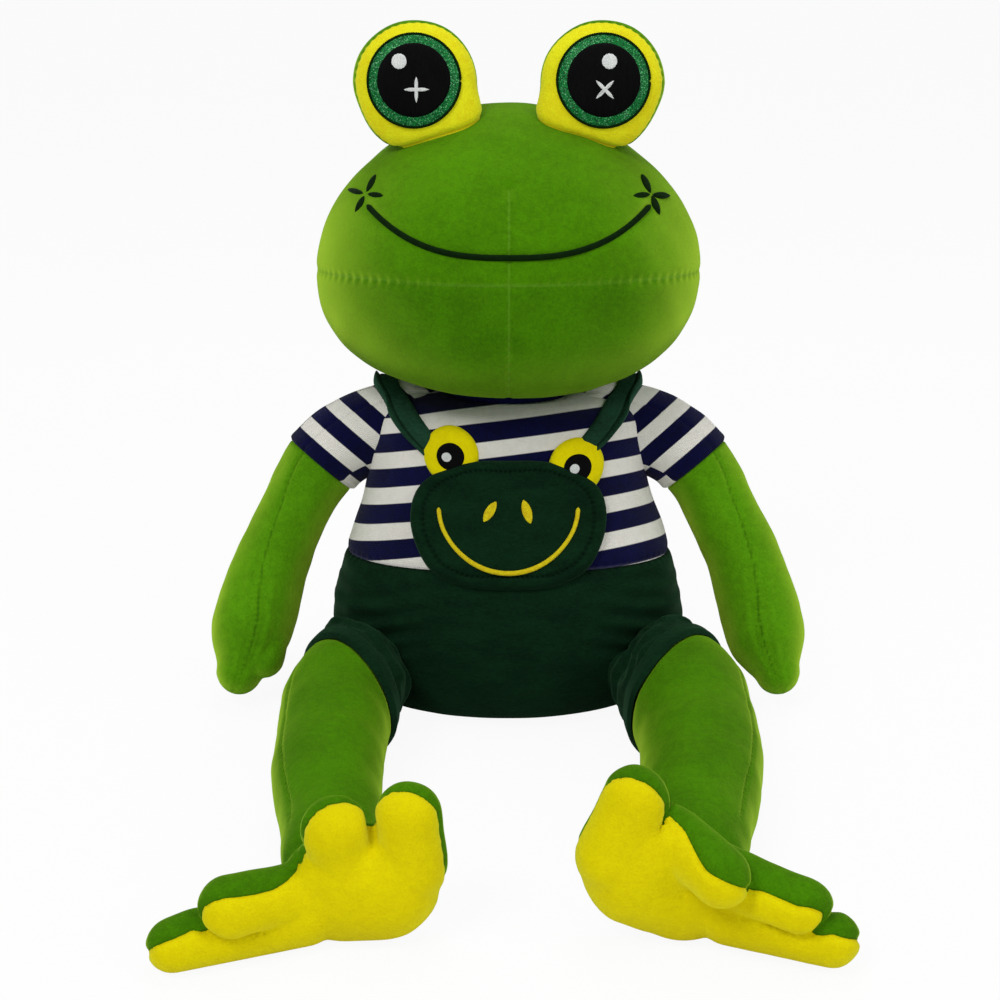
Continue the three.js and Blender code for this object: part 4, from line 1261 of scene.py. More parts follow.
@dataclass
class Straps:
    """The two dungaree straps: folded velour with a stitched edge, from bib to back."""

    torso: Torso
    width: float = 15.0
    thickness: float = 3.2
    top_spread: float = 79.0
    bend_spread: float = 34.0
    bend_height: float = 150.0
    root_radius: float = 27.2
    root_height: float = 164.0
    root_spread: float = 56.0
    back_spread: float = 24.0
    top_height: float = 194.0
    back_height: float = 7.6
    core_height: float = 130.0
    end_degrees: tuple[float, float] = (-14.0, 236.0)
    tuck: float = 2.6
    seam_place: float = 0.24
    stitch_pitch: float = 3.2

    def side_at(self, point: np.ndarray) -> np.ndarray:
        """Finds how far across the strap's middle runs.

        Args:
            point: places along Y and heights.

        Returns:
            The spread at each place.
        """
        y, z = point[..., 0], point[..., 1]
        front = np.clip((z - self.bend_height) / (self.top_height - self.bend_height), 0, 1)
        back = (z - self.back_height) / (self.top_height - self.back_height)
        front_x = self.bend_spread + (self.top_spread - self.bend_spread) * front
        back_x = self.back_spread + (self.top_spread - self.back_spread) * back
        behind = step_up(y, self.torso.set_back - 12, self.torso.set_back + 12)
        return front_x * (1 - behind) + back_x * behind

    def outside(self, points: np.ndarray) -> np.ndarray:
        """Tells how far out of the torso points are.

        Args:
            points: the points.

        Returns:
            Over one outside the torso and under one inside it.
        """
        x, y, z = points[..., 0], points[..., 1], points[..., 2]
        wide, front, back, middle = self.torso.at_height(z)
        deep = np.where(y < middle, front, back)
        power = self.torso.squareness
        value = (np.abs(x) / wide) ** power + (np.abs(y - middle) / deep) ** power
        value = np.where(z > self.torso.height - 0.5, 2.0, value)
        root = np.hypot(y - self.torso.set_back, z - self.root_height) < self.root_radius
        return np.where(root & (np.abs(x) > self.root_spread), 0.5, value)

    def cast(self, x: np.ndarray, turn: np.ndarray) -> np.ndarray:
        """Finds the cloth from the torso's middle in each direction up the strap's plane.

        Args:
            x: how far across each ray runs.
            turn: its angle, from the front over the top.

        Returns:
            The points where the rays leave the torso.
        """
        start = x[..., None] * [1.0, 0.0, 0.0] + [0.0, self.torso.set_back, self.core_height]
        way = np.stack([turn * 0, -np.cos(turn), np.sin(turn)], -1)
        near, far = np.zeros_like(turn), np.full_like(turn, 150.0)
        for _ in range(26):
            middle = (near + far) / 2
            out = self.outside(start + way * middle[..., None]) > 1
            far = np.where(out, middle, far)
            near = np.where(out, near, middle)
        return start + way * far[..., None]

    def build(self) -> None:
        """Makes both straps."""
        for side in Side:
            band, nodes = self.strap(side), [f"strap_{side.word}"]
            dress(band, f"strap_band_{side.word}", WEBBING, "torso", nodes)

    def strap(self, side: Side) -> Surface:
        """Makes one strap.

        Args:
            side: which strap.

        Returns:
            Its surface.
        """
        turn = np.linspace(*np.radians(self.end_degrees), 330)
        across = np.linspace(-0.5, 0.5, 41)
        spread = np.full_like(turn, 55.0)
        for _ in range(6):
            middle = self.cast(spread, turn)
            spread = np.clip(self.side_at(middle[:, 1:]), 20, 76)
            spread = np.convolve(np.pad(spread, 6, mode="edge"), np.ones(13) / 13, "valid")
        x = spread[:, None] + across * self.width
        grid = self.cast(x, np.repeat(turn[:, None], len(across), 1))
        kernel = np.ones(15) / 15
        for column in range(len(across)):
            for axis in range(3):
                line = np.pad(grid[:, column, axis], 7, mode="edge")
                grid[:, column, axis] = np.convolve(line, kernel, "valid")
        grid[..., 0] *= side.way
        out = unit(np.cross(np.gradient(grid, axis=0), np.gradient(grid, axis=1)))
        out *= np.sign((out * (grid - [0, 22, 110])).sum(-1).mean())
        edge = np.clip(1 - (2 * np.abs(across)) ** 7, 0, 1) ** 0.5
        run = np.cumsum(np.linalg.norm(np.gradient(grid[:, 20], axis=0), axis=1))
        stitches = stitch_wave(run, self.stitch_pitch, 0.7)[:, None]
        drawn = 1.3 * groove(across - self.seam_place, 0.04) * stitches
        ridge = 2.0 * groove(across - 0.4, 0.09) - drawn
        puff = 0.5 * swell(grid.reshape(-1, 3), 22, 12).reshape(grid.shape[:2])
        height = 0.3 + (self.thickness + ridge + puff) * edge
        hidden = (grid[..., 1] < 0) * (1 - step_up(grid[..., 2], 150, 166))
        height = height * (1 - 0.75 * hidden)
        waist = self.torso.waist - self.torso.waist_slope * grid[..., 1]
        tucked = (grid[..., 1] > 0) * step_up(waist - grid[..., 2], -1.5, 3.5)
        grid = grid - out * (self.tuck * tucked)[..., None]
        height = height * (1 - 0.9 * tucked)
        top = grid + out * height[..., None]
        under = (grid - out * 1.0)[:, ::-1]
        surface = sewn_grid(np.concatenate([top, under], 1))
        # Painted shade along each strap's stitched line.
        seam = np.zeros((len(turn), 2 * len(across)))
        seam[:, : len(across)] = groove(across - self.seam_place, 0.05) * 0.8
        surface.values["seam"] = np.concatenate([seam.ravel(), [0, 0]])
        return surface


# Head


@dataclass
class Head:
    """The wide head: two sewn halves, the stitched mouth and the star under each eye."""

    half_width: float = 114.5
    half_depth: float = 90.0
    rise: float = 97.0
    drop: float = 75.0
    height: float = 264.0
    set_back: float = 8.0
    tilt: float = 7.0
    crown_power: float = 1.9
    jaw_power: float = 2.4
    jaw_slope: float = 0.03
    jaw_sag: float = 0.26
    mouth_height: float = 12.0
    mouth_rise: float = 27.6
    mouth_bend: float = 2.85
    mouth_half_width: float = 81.0
    mouth: Satin = Satin(3.4, 0.1, 1.4, 1.2)
    cheek_spread: float = 82.0
    cheek_height: float = 45.5
    petal_spread: float = 6.6
    petal_length: float = 11.5
    petal_width: float = 3.4
    petal_degrees: tuple = ((115, -8, 292, 184), (63, -4, 240, 171))
    seam_length: float = 51.0
    dimple_height: float = 50.0
    dimple_depth: float = 1.6
    mouth_press: float = 0.9
    jaw_seam: Seam = Seam(1.5, 2.6, 6.5, 0.72)
    centre_seam: Seam = Seam(1.1, 1.7, 5.0, 0.7)
    lumps: Lumps = Lumps(1.3, 90.0, 0.3, 28.0, 21)

    def placed(self, local: np.ndarray) -> np.ndarray:
        """Returns: points about the jaw seam's middle, moved into the frog's axes."""
        return tipped(local, self.tilt) + [0, self.set_back, self.height]

    def reach_share(self, z: np.ndarray) -> np.ndarray:
        """Returns: how wide the head is at each height, as a share of its widest."""
        up = np.clip(np.abs(z) / np.where(z > 0, self.rise, self.drop), 0, 0.9999)
        power = np.where(z > 0, self.crown_power, self.jaw_power)
        return (1 - up**power) ** (1 / power)

    def depth_at(self, x: np.ndarray, z: np.ndarray) -> np.ndarray:
        """Returns: the face's place along the head's own Y."""
        inside = self.reach_share(z) ** 2 - (x / self.half_width) ** 2
        return -self.half_depth * np.sqrt(np.clip(inside, 1e-4, None))

    def on_face(self, x: np.ndarray, z: np.ndarray, lift: np.ndarray) -> np.ndarray:
        """Returns: places across and heights over the jaw seam, standing off the face by a lift."""
        return self.placed(raised(self.depth_at, x, z, lift))

    def beyond(self, local: np.ndarray) -> np.ndarray:
        """Gives a rough distance from the head's cloth.

        Args:
            local: points in the head's own axes.

        Returns:
            Millimetres outside the cloth, below zero inside it.
        """
        x, y, z = local[..., 0], local[..., 1], local[..., 2]
        power = np.where(z > 0, self.crown_power, self.jaw_power)
        flat = np.hypot(x / self.half_width, y / self.half_depth) ** power
        tall = (np.abs(z) / np.where(z > 0, self.rise, self.drop)) ** power
        return ((flat + tall) ** (1 / power) - 1) * 92.0

    def mouth_line(self, count: int = 160) -> np.ndarray:
        """Returns: the mouth's places across and heights above the jaw seam."""
        share = np.linspace(-1, 1, count)
        rise = self.mouth_height + self.mouth_rise * np.abs(share) ** self.mouth_bend
        return np.stack([self.mouth_half_width * share, rise], -1)

    def skin(self) -> tuple[Surface, np.ndarray]:
        """Returns: the whole head in its own axes, with each point's height over the seam."""
        angle = np.linspace(-1, 1, 250) * math.pi / 2 * 0.995
        turn = full_turn(500)
        turn = turn + 0.25 * np.sin(2 * turn)
        upper = angle > 0
        power = 2 / np.where(upper, self.crown_power, self.jaw_power)
        z = np.where(upper, self.rise, self.drop) * np.sign(angle) * np.abs(np.sin(angle)) ** power
        share = np.cos(angle) ** power
        x = share[:, None] * self.half_width * np.cos(turn)
        y = share[:, None] * self.half_depth * np.sin(turn)
        sag = 1 + self.jaw_sag * np.clip(-y / self.half_depth, 0, 1) ** 2 * (z < 0)[:, None]
        surface = sewn_grid(np.stack([x, y, z[:, None] * sag], -1))
        return surface, surface.points[:, 2] - self.jaw_slope * surface.points[:, 1]

    def build(self) -> None:
        """Makes the two halves of the head and the stitching on the face."""
        skin, level = self.skin()
        x, y, z = skin.points.T
        jaw = self.jaw_seam.pull(level, np.arctan2(x, -y) * MEAN_RADIUS)
        front = (y < 0) * step_up(self.seam_length - z, -3, 3)
        centre = front * self.centre_seam.pull(x, z)
        dimple = self.dimple_depth * groove(np.hypot(x, z - self.dimple_height), 3.5) * (y < 0)
        line = self.mouth_line(80)
        near = np.full(len(z), 99.0)
        face = np.flatnonzero((y < 0) & (z > 0) & (z < 75))
        apart = skin.points[face][:, None, ::2] - line[None]
        near[face] = np.sqrt((apart**2).sum(-1).min(1))
        pressed = self.mouth_press * groove(near, 3.2)
        # Painted highlight: the crown's and jaw's paler seam colour goes along the jaw seam and the
        # front centre seam.
        seam = np.maximum(groove(level, 1.0), 0.6 * front * groove(x, 0.9))
        skin = skin.with_value("seam", seam)
        skin = skin.shifted(self.lumps.over(skin.points) - jaw - centre - dimple - pressed)
        upper, lower = skin.cut(level)
        for part, name, fabric, nodes in (
            (upper, "head_crown", CROWN, ["head_upper", "head_stuffing"]),
            (lower, "head_jaw", JAW, ["head_lower"]),
        ):
            part.points = self.placed(part.points)
            dress(part, name, fabric, "head", nodes)
        mouth = self.mouth.band(self.mouth_line(), self.on_face)
        dress(mouth, "mouth_thread", THREAD, "head", ["mouth_embroidery"])
        for side in Side:
            self.build_cheek(side)

    def build_cheek(self, side: Side) -> None:
        """Makes the four stitched petals at one end of the mouth.

        Args:
            side: which cheek.
        """
        petals = []
        for degrees in side.pick(self.petal_degrees):
            lean = math.radians(degrees)
            x = side.way * self.cheek_spread + self.petal_spread * math.cos(lean)
            z = self.cheek_height + self.petal_spread * math.sin(lean)
            shape = leaf_reach(self.petal_length, self.petal_width, lean)
            look = {"stitch": 0.9, "stitch_angle": lean + 0.9, "ridge": 0.18, "edge": 3.0}
            petal = Patch(x, z, shape, -0.1, 1.2, rings=14, columns=60, **look)
            petals.append(petal.surface(self.on_face))
        star, nodes = joined_surfaces(petals), [f"cheek_star_{side.word}"]
        dress(star, f"cheek_petals_{side.word}", THREAD, "head", nodes)


@dataclass
class Eye:
    """One bulging eye: a green back, a yellow face, the glitter ring, pupil and lights."""

    head: Head
    side: Side
    radius: float = 36.0
    front: float = 17.0
    back: float = 22.0
    spread: float = 54.0
    rise: float = 108.0
    forward: float = 27.0
    tilt: float = 5.0
    rim_power: float = 0.8
    glitter_radius: float = 26.0
    pupil_radius: float = 20.5
    glint_radius: float = 4.3
    glint_places: tuple = ((3.0, 10.0), (-8.0, 10.0))
    star_radius: float = 7.4
    star_places: tuple = ((0.5, -5.5), (1.5, -5.5))
    star_degrees: tuple[float, float] = (45.0, 90.0)
    edging: Satin = Satin(1.7, 0.2, 1.6, 1.3)
    chin_power: float = 3.1
    chin_drop: float = 1.12
    lean: float = 0.36
    lean_start: float = 8.0
    inside: float = 9.0
    seam: Seam = Seam(1.5, 1.7, 5.2)

    def placed(self, local: np.ndarray) -> np.ndarray:
        """Returns: points about the eye's middle, moved into the frog's axes."""
        return self.head.placed(self.in_head(local))

    def in_head(self, local: np.ndarray) -> np.ndarray:
        """Returns: points of the eye in the head's own axes."""
        middle = [self.side.way * self.spread, -self.forward, self.rise]
        return tipped(local, self.tilt) + middle

    def rim(self, turn: np.ndarray) -> tuple[np.ndarray, np.ndarray]:
        """Gives the eye's outline: round above, with straighter sides below.

        Args:
            turn: angles from +X towards +Z.

        Returns:
            The outline's places across and upward.
        """
        c, s = np.cos(turn), np.sin(turn)
        power = np.where(s < 0, 2 / self.chin_power, 1.0)
        x = self.radius * np.sign(c) * np.abs(c) ** power
        z = self.radius * np.where(s < 0, self.chin_drop, 1.0) * np.sign(s) * np.abs(s) ** power
        return x - self.leaning(z), z

    def leaning(self, z: np.ndarray) -> np.ndarray:
        """Returns: how far the eye leans in towards the crown at each height."""
        drop = np.maximum(-z, 0)
        return self.side.way * self.lean * drop**2 / (drop + self.lean_start)

    def on_eye(self, x: np.ndarray, z: np.ndarray, lift: np.ndarray) -> np.ndarray:
        """Places points above the eye's yellow face.

        Args:
            x: places across from the eye's middle.
            z: heights above it.
            lift: how far the points stand off the cloth.

        Returns:
            The points in the frog's axes.
        """

        def depth(across: np.ndarray, up: np.ndarray) -> np.ndarray:
            """Returns: the yellow face's place along the eye's own Y."""
            power = np.where(up < 0, self.chin_power, 2.0)
            tall = np.abs(up) / np.where(up < 0, self.chin_drop, 1.0)
            wide = np.abs(across + self.leaning(up))
            share = np.clip((wide**power + tall**power) ** (1 / power) / self.radius, 0, 0.98)
            return -self.front * np.sqrt(1 - share ** (2 / self.rim_power))

        return self.placed(raised(depth, x, z, lift))

    def build(self) -> None:
        """Makes the eye's two panels and its patches."""
        word = self.side.word
        angle = np.linspace(-1, 1, 110) * math.pi / 2 * 0.995
        turn = full_turn(220)
        rim_x, rim_z = self.rim(turn)
        share = np.cos(angle)[:, None] ** self.rim_power
        deep = np.where(angle > 0, self.back, self.front) * np.sin(angle)
        grid = np.stack(
            [share * rim_x, np.repeat(deep[:, None], len(turn), 1), share * rim_z], -1
        )
        skin = sewn_grid(grid)
        level = skin.points[:, 1] + 2.6 + 0.07 * skin.points[:, 2]
        level += 0.05 * self.side.way * skin.points[:, 0]
        apart = self.head.beyond(self.in_head(skin.points))
        run = np.arctan2(skin.points[:, 2], skin.points[:, 0]) * self.radius
        drawn = self.seam.pull(level - 0.4, run) + 1.8 * groove(apart, 2.4)
        # Painted seam colour where the yellow meets the green and where the eye meets the head:
        # painted shade on the yellow face, a painted highlight on the green back.
        seam = np.maximum(groove(level, 0.9), 0.8 * groove(apart - 0.4, 1.3))
        lumps = 0.35 * swell(skin.points, 34, 31)
        skin = skin.with_value("seam", seam).shifted(lumps - drawn)
        back, face = skin.cut(level)
        back, _ = back.cut(self.head.beyond(self.in_head(back.points)) + self.inside)
        face, _ = face.cut(self.head.beyond(self.in_head(face.points)) + self.inside)
        for part, name, fabric, nodes in (
            (face, "eye_yellow", EYE_LEMON, [f"eye_face_{word}", f"eye_stuffing_{word}"]),
            (back, "eye_green", CROWN, [f"eye_back_{word}"]),
        ):
            part.points = self.placed(part.points)
            dress(part, f"{name}_{word}", fabric, "head", nodes)
        self.build_patches()

    def build_patches(self) -> None:
        """Makes the glitter disc, its stitched edge, the pupil and its two lights."""
        disc = Patch(0, 0, round_reach(self.glitter_radius), 0.2, 1.3, edge=16.0, columns=240)
        self.stitch_on(disc.surface(self.on_eye), "eye_ring", GLITTER, "eye_glitter")
        turn = np.linspace(0, 2 * math.pi, 400)
        hem = np.stack([self.glitter_radius * np.cos(turn), self.glitter_radius * np.sin(turn)], -1)
        self.stitch_on(self.edging.band(hem, self.on_eye), "eye_ring_edge", THREAD)
        look = {"stitch": 1.6, "stitch_angle": 0.2, "ridge": 0.12, "edge": 14.0}
        shape = round_reach(self.pupil_radius)
        pupil = Patch(0, 0, shape, 1.3, 1.3, rings=64, columns=360, **look)
        self.stitch_on(pupil.surface(self.on_eye), "eye_pupil_patch", BLACK, "eye_pupil")
        look = {"stitch": 0.9, "stitch_angle": 0.3, "ridge": 0.15, "edge": 5.0}
        shape = round_reach(self.glint_radius)
        spot = Patch(*self.side.pick(self.glint_places), shape, 2.3, 0.9, **look)
        self.stitch_on(spot.surface(self.on_eye), "eye_dot_patch", WHITE, "eye_dot")
        look = {"stitch": 0.9, "stitch_angle": 0.8, "ridge": 0.15, "edge": 4.0}
        start = math.radians(self.side.pick(self.star_degrees))
        shape = star_reach(self.star_radius, 4, start, 0.2)
        star = Patch(*self.side.pick(self.star_places), shape, 2.3, 0.9, columns=240, **look)
        self.stitch_on(star.surface(self.on_eye), "eye_star_patch", WHITE, "eye_star")

    def stitch_on(self, surface: Surface, name: str, fabric: Fabric, *nodes: str) -> None:
        """Dresses one patch of this eye, standing for the nodes of the given first names."""
        word = self.side.word
        dress(surface, f"{name}_{word}", fabric, "head", [f"{node}_{word}" for node in nodes])




# Limbs


@dataclass
class Tube:
    """A filled tube along a smooth line, which swells and tapers."""

    points: np.ndarray
    radii: np.ndarray
    flat: float = 1.0
    up: tuple[float, float, float] = (0.0, 0.0, 1.0)

    def at(self, share: np.ndarray, rows: np.ndarray) -> np.ndarray:
        """Returns: rows of values read at shares of the line."""
        places = np.asarray(share, float) * (len(rows) - 1)
        return smooth_values(range(len(rows)), rows, places)

    def line(self, share: np.ndarray) -> np.ndarray:
        """Returns: the middle line's points at shares of its rows."""
        return self.at(share, self.points)

    def frames(self, share: np.ndarray) -> tuple[np.ndarray, np.ndarray, np.ndarray]:
        """Returns: along, across and front at shares of the line."""
        small = 0.004
        ahead, behind = np.minimum(share + small, 1), np.maximum(share - small, 0)
        along = unit(self.line(ahead) - self.line(behind))
        across = unit(np.cross(along, np.array(self.up)))
        return along, across, np.cross(across, along)

    def surface(self, steps: int = 60, sides: int = 56, cap: int = 10) -> Surface:
        """Makes the tube with its two round ends.

        Args:
            steps: rings along the tube.
            sides: points round each ring.
            cap: rings on each end.

        Returns:
            The closed surface.
        """
        bend = np.linspace(0.06, 1, cap) * math.pi / 2
        share = np.concatenate([np.zeros(cap), np.linspace(0, 1, steps), np.ones(cap)])
        lift = np.concatenate([-np.sin(bend[::-1]), np.zeros(steps), np.sin(bend)])
        size = np.concatenate([np.cos(bend[::-1]), np.ones(steps), np.cos(bend)])
        size = np.maximum(size, 0.02)
        along, across, front = self.frames(share)
        radius = self.at(share, self.radii)
        turn = full_turn(sides)
        middle = self.line(share) + along * (lift * radius)[:, None]
        reach = (radius * size)[:, None, None]
        grid = middle[:, None] + reach * (
            across[:, None] * np.cos(turn)[None, :, None]
            + self.flat * front[:, None] * np.sin(turn)[None, :, None]
        )
        return sewn_grid(grid)

    def station(self, points: np.ndarray) -> tuple[np.ndarray, np.ndarray]:
        """Finds where points lie along and round the tube.

        Args:
            points: the points.

        Returns:
            The length along the line, and the angle from across towards the front.
        """
        share = np.linspace(0, 1, 240)
        line = self.line(share)
        shares = np.array_split(points, max(1, len(points) // 4000))
        near = [((part[:, None] - line) ** 2).sum(-1).argmin(1) for part in shares]
        near = np.concatenate(near)
        _, across, front = self.frames(share)
        apart = points - line[near]
        turn = np.arctan2((apart * front[near]).sum(1), (apart * across[near]).sum(1))
        return length_along(line)[near], turn


def turned_apart(angle: np.ndarray, other: np.ndarray) -> np.ndarray:
    """Returns: the angle from the other one, between minus and plus half a turn."""
    return np.arctan2(np.sin(angle - other), np.cos(angle - other))


ARM_ROWS = np.array(
    [
        (-0.3, 0, -0.01, 0.95),
        (0.13, 0.02, 0.06, 0.9),
        (0.415, 0.1, 0.18, 0.85),
        (0.615, 0.24, 0.37, 0.8),
        (0.785, 0.42, 0.57, 0.84),
        (0.9, 0.64, 0.77, 0.92),
        (0.965, 0.85, 0.91, 0.86),
        (1.03, 1.02, 1.02, 0.5),
    ]
)
THUMB_ROWS = {
    Side.LEFT: np.array([(0.93, 0.5, 0.74, 1), (1.03, 0.66, 0.86, 1.1), (1.1, 0.8, 0.95, 1)]),
    Side.RIGHT: np.array([(0.86, 0.64, 0.74, 1), (0.8, 0.86, 0.86, 1.1), (0.82, 1.02, 0.96, 1)]),
}


@dataclass
class Arm:
    """An arm with a mitten hand, in its short striped sleeve."""

    side: Side
    shoulder_spread: float = 84.0
    shoulder_back: float = 22.0
    shoulder_height: float = 164.0
    out: float = 79.0
    down: float = 139.0
    forward: float = 62.0
    radius: float = 27.0
    thumb_radius: float = 11.0
    sleeve_share: float = 0.287
    stripe: float = 19.4
    mismatch: float = 0.42
    looseness: float = 1.3
    tuck: float = 7.0
    wrist: float = 132.0
    palm_depth: float = 1.6
    seam: Seam = Seam(1.0, 1.7, 4.2, 0.65)
    seam_turns: tuple = ((0, 60, 130, 175), (0.9, 0.75, 0.25, -0.1))
    lumps: Lumps = Lumps(0.7, 48.0, 0.25, 18.0, 41)

    def tube(self, rows: np.ndarray, radius: float) -> Tube:
        """Returns: the tube through rows of shares."""
        way = self.side.way
        move = rows[:, :3] * [way * self.out, -self.forward, -self.down]
        root = [way * self.shoulder_spread, self.shoulder_back, self.shoulder_height]
        return Tube(move + root, radius * rows[:, 3], up=(0, 1, 0))

    def build(self) -> None:
        """Makes the sleeve and the arm."""
        word, way = self.side.word, self.side.way
        arm = self.tube(ARM_ROWS, self.radius)
        thumb = self.tube(THUMB_ROWS[self.side], self.thumb_radius)
        skin = sculpted([arm.surface(), thumb.surface(14, 30)], 1.7, 7).shifted_all(0.4)
        length, turn = arm.station(skin.points)
        hem = arm.line(self.sleeve_share)
        along = arm.frames(np.array([self.sleeve_share]))[0][0]
        level = (skin.points - hem) @ along
        off_seam = turned_apart(turn, self.seam_angle(length)) * self.radius
        hand = step_up(length, self.wrist, self.wrist + 18)
        depth = (1.0 + self.palm_depth * hand) * self.seam.pull(off_seam, length)
        pleats = 0.9 * hand * np.cos(off_seam * 2 * math.pi / 9) * groove(off_seam, 9)
        # Painted shade along the arm's front seam.
        skin = skin.with_value("seam", 0.75 * groove(off_seam, 1.1) * (level > 0))
        skin = skin.with_value("wale", turn * self.radius * 0.9)
        skin = skin.with_value("stripe", (level - 0.3) / self.stripe)
        skin = skin.with_value("under", np.cos(turn + math.pi / 2 + way * 1.75) - 0.42)
        shaped = skin.shifted(self.lumps.over(skin.points) - depth + pleats)
        _, sleeve = shaped.cut(level)
        sleeve_level = (sleeve.points - hem) @ along
        rolled = 0.5 * groove(sleeve_level + 2.5, 3.0) - 1.4 * groove(sleeve_level, 0.9)
        lower, upper = sleeve.shifted(self.looseness + rolled).cut(sleeve.values["under"])
        lower.values["stripe"] += self.mismatch
        sleeve = joined_surfaces([lower, upper])
        inner, _ = shaped.cut(level + self.tuck)
        tucked = step_up(-((inner.points - hem) @ along), -1.5, 1.0) * -1.4
        inner = inner.shifted(tucked)
        body, nodes = f"arm_{word}", [f"arm_{word}", f"arm_stuffing_{word}"]
        dress(sleeve, f"sleeve_knit_{word}", JERSEY, body, [f"sleeve_{word}"])
        dress(inner, f"arm_pile_{word}", SLEEVED, body, nodes)

    def seam_angle(self, length: np.ndarray) -> np.ndarray:
        """Returns: where the front seam lies round the arm, by length along it."""
        base = -math.pi / 2
        return base + self.side.way * np.interp(length, *self.seam_turns)


LEG_ROWS = np.array(
    [
        (0, -0.05, 0, 0.7),
        (0.5, 0.14, 0.2, 0.87),
        (0.9, 0.3, 0.45, 0.98),
        (1, 0.47, 0.6, 0.93),
        (0.95, 0.64, 0.75, 0.9),
        (0.7, 0.82, 0.9, 0.82),
        (0.42, 1, 1, 0.72),
    ]
)


@dataclass(frozen=True)
class Toe:
    """A filled form of the foot, with its ends in shares of the toes' reach from the ankle."""

    knuckle: tuple[float, float, float]
    tip: tuple[float, float, float]
    radii: tuple[float, float]
    sole: tuple[float, float, float] = (0.0, 1.0, 0.0)
    flat: float = 1.0


TOES = {
    Side.LEFT: (
        Toe((-0.68, 0.42, 0.27), (-0.52, 0.43, 0.74), (18.5, 15.8), (-0.35, 0.9, 0.35)),
        Toe((-0.18, 0.45, 0.43), (0.125, 0.85, 0.3), (13.2, 14.8), (-0.4, 0.3, 0.85)),
        Toe((0.02, 0.45, 0.18), (0.77, 0.8, 0.0), (14.5, 14.5), (-0.1, 0.55, 0.8)),
        Toe((0.25, 0.5, -0.2), (1.02, 0.88, -0.24), (15.7, 12.5), (0.0, 0.5, 0.85)),
    ),
    Side.RIGHT: (
        Toe((-0.67, 0.42, 0.16), (-0.635, 0.43, 0.61), (16.4, 16.0), (0.2, 0.9, 0.25)),
        Toe((-0.14, 0.42, 0.1), (-0.07, 0.48, 0.51), (14.6, 15.8), (-0.4, 0.9, 0.15)),
        Toe((0.18, 0.43, -0.09), (0.74, 0.8, 0.0), (14.9, 15.0), (-0.15, 0.7, 0.6)),
        Toe((0.2, 0.46, -0.21), (1.19, 0.88, -0.28), (17.0, 12.5), (-0.3, 0.6, 0.75)),
    ),
}
PADS = {
    Side.LEFT: Toe((-0.4, 0.42, 0.18), (-0.1, 0.42, 0.0), (32.4, 28.8), flat=0.6),
    Side.RIGHT: Toe((-0.41, 0.42, 0.0), (-0.1, 0.42, -0.02), (28.0, 27.6), flat=0.68),
}


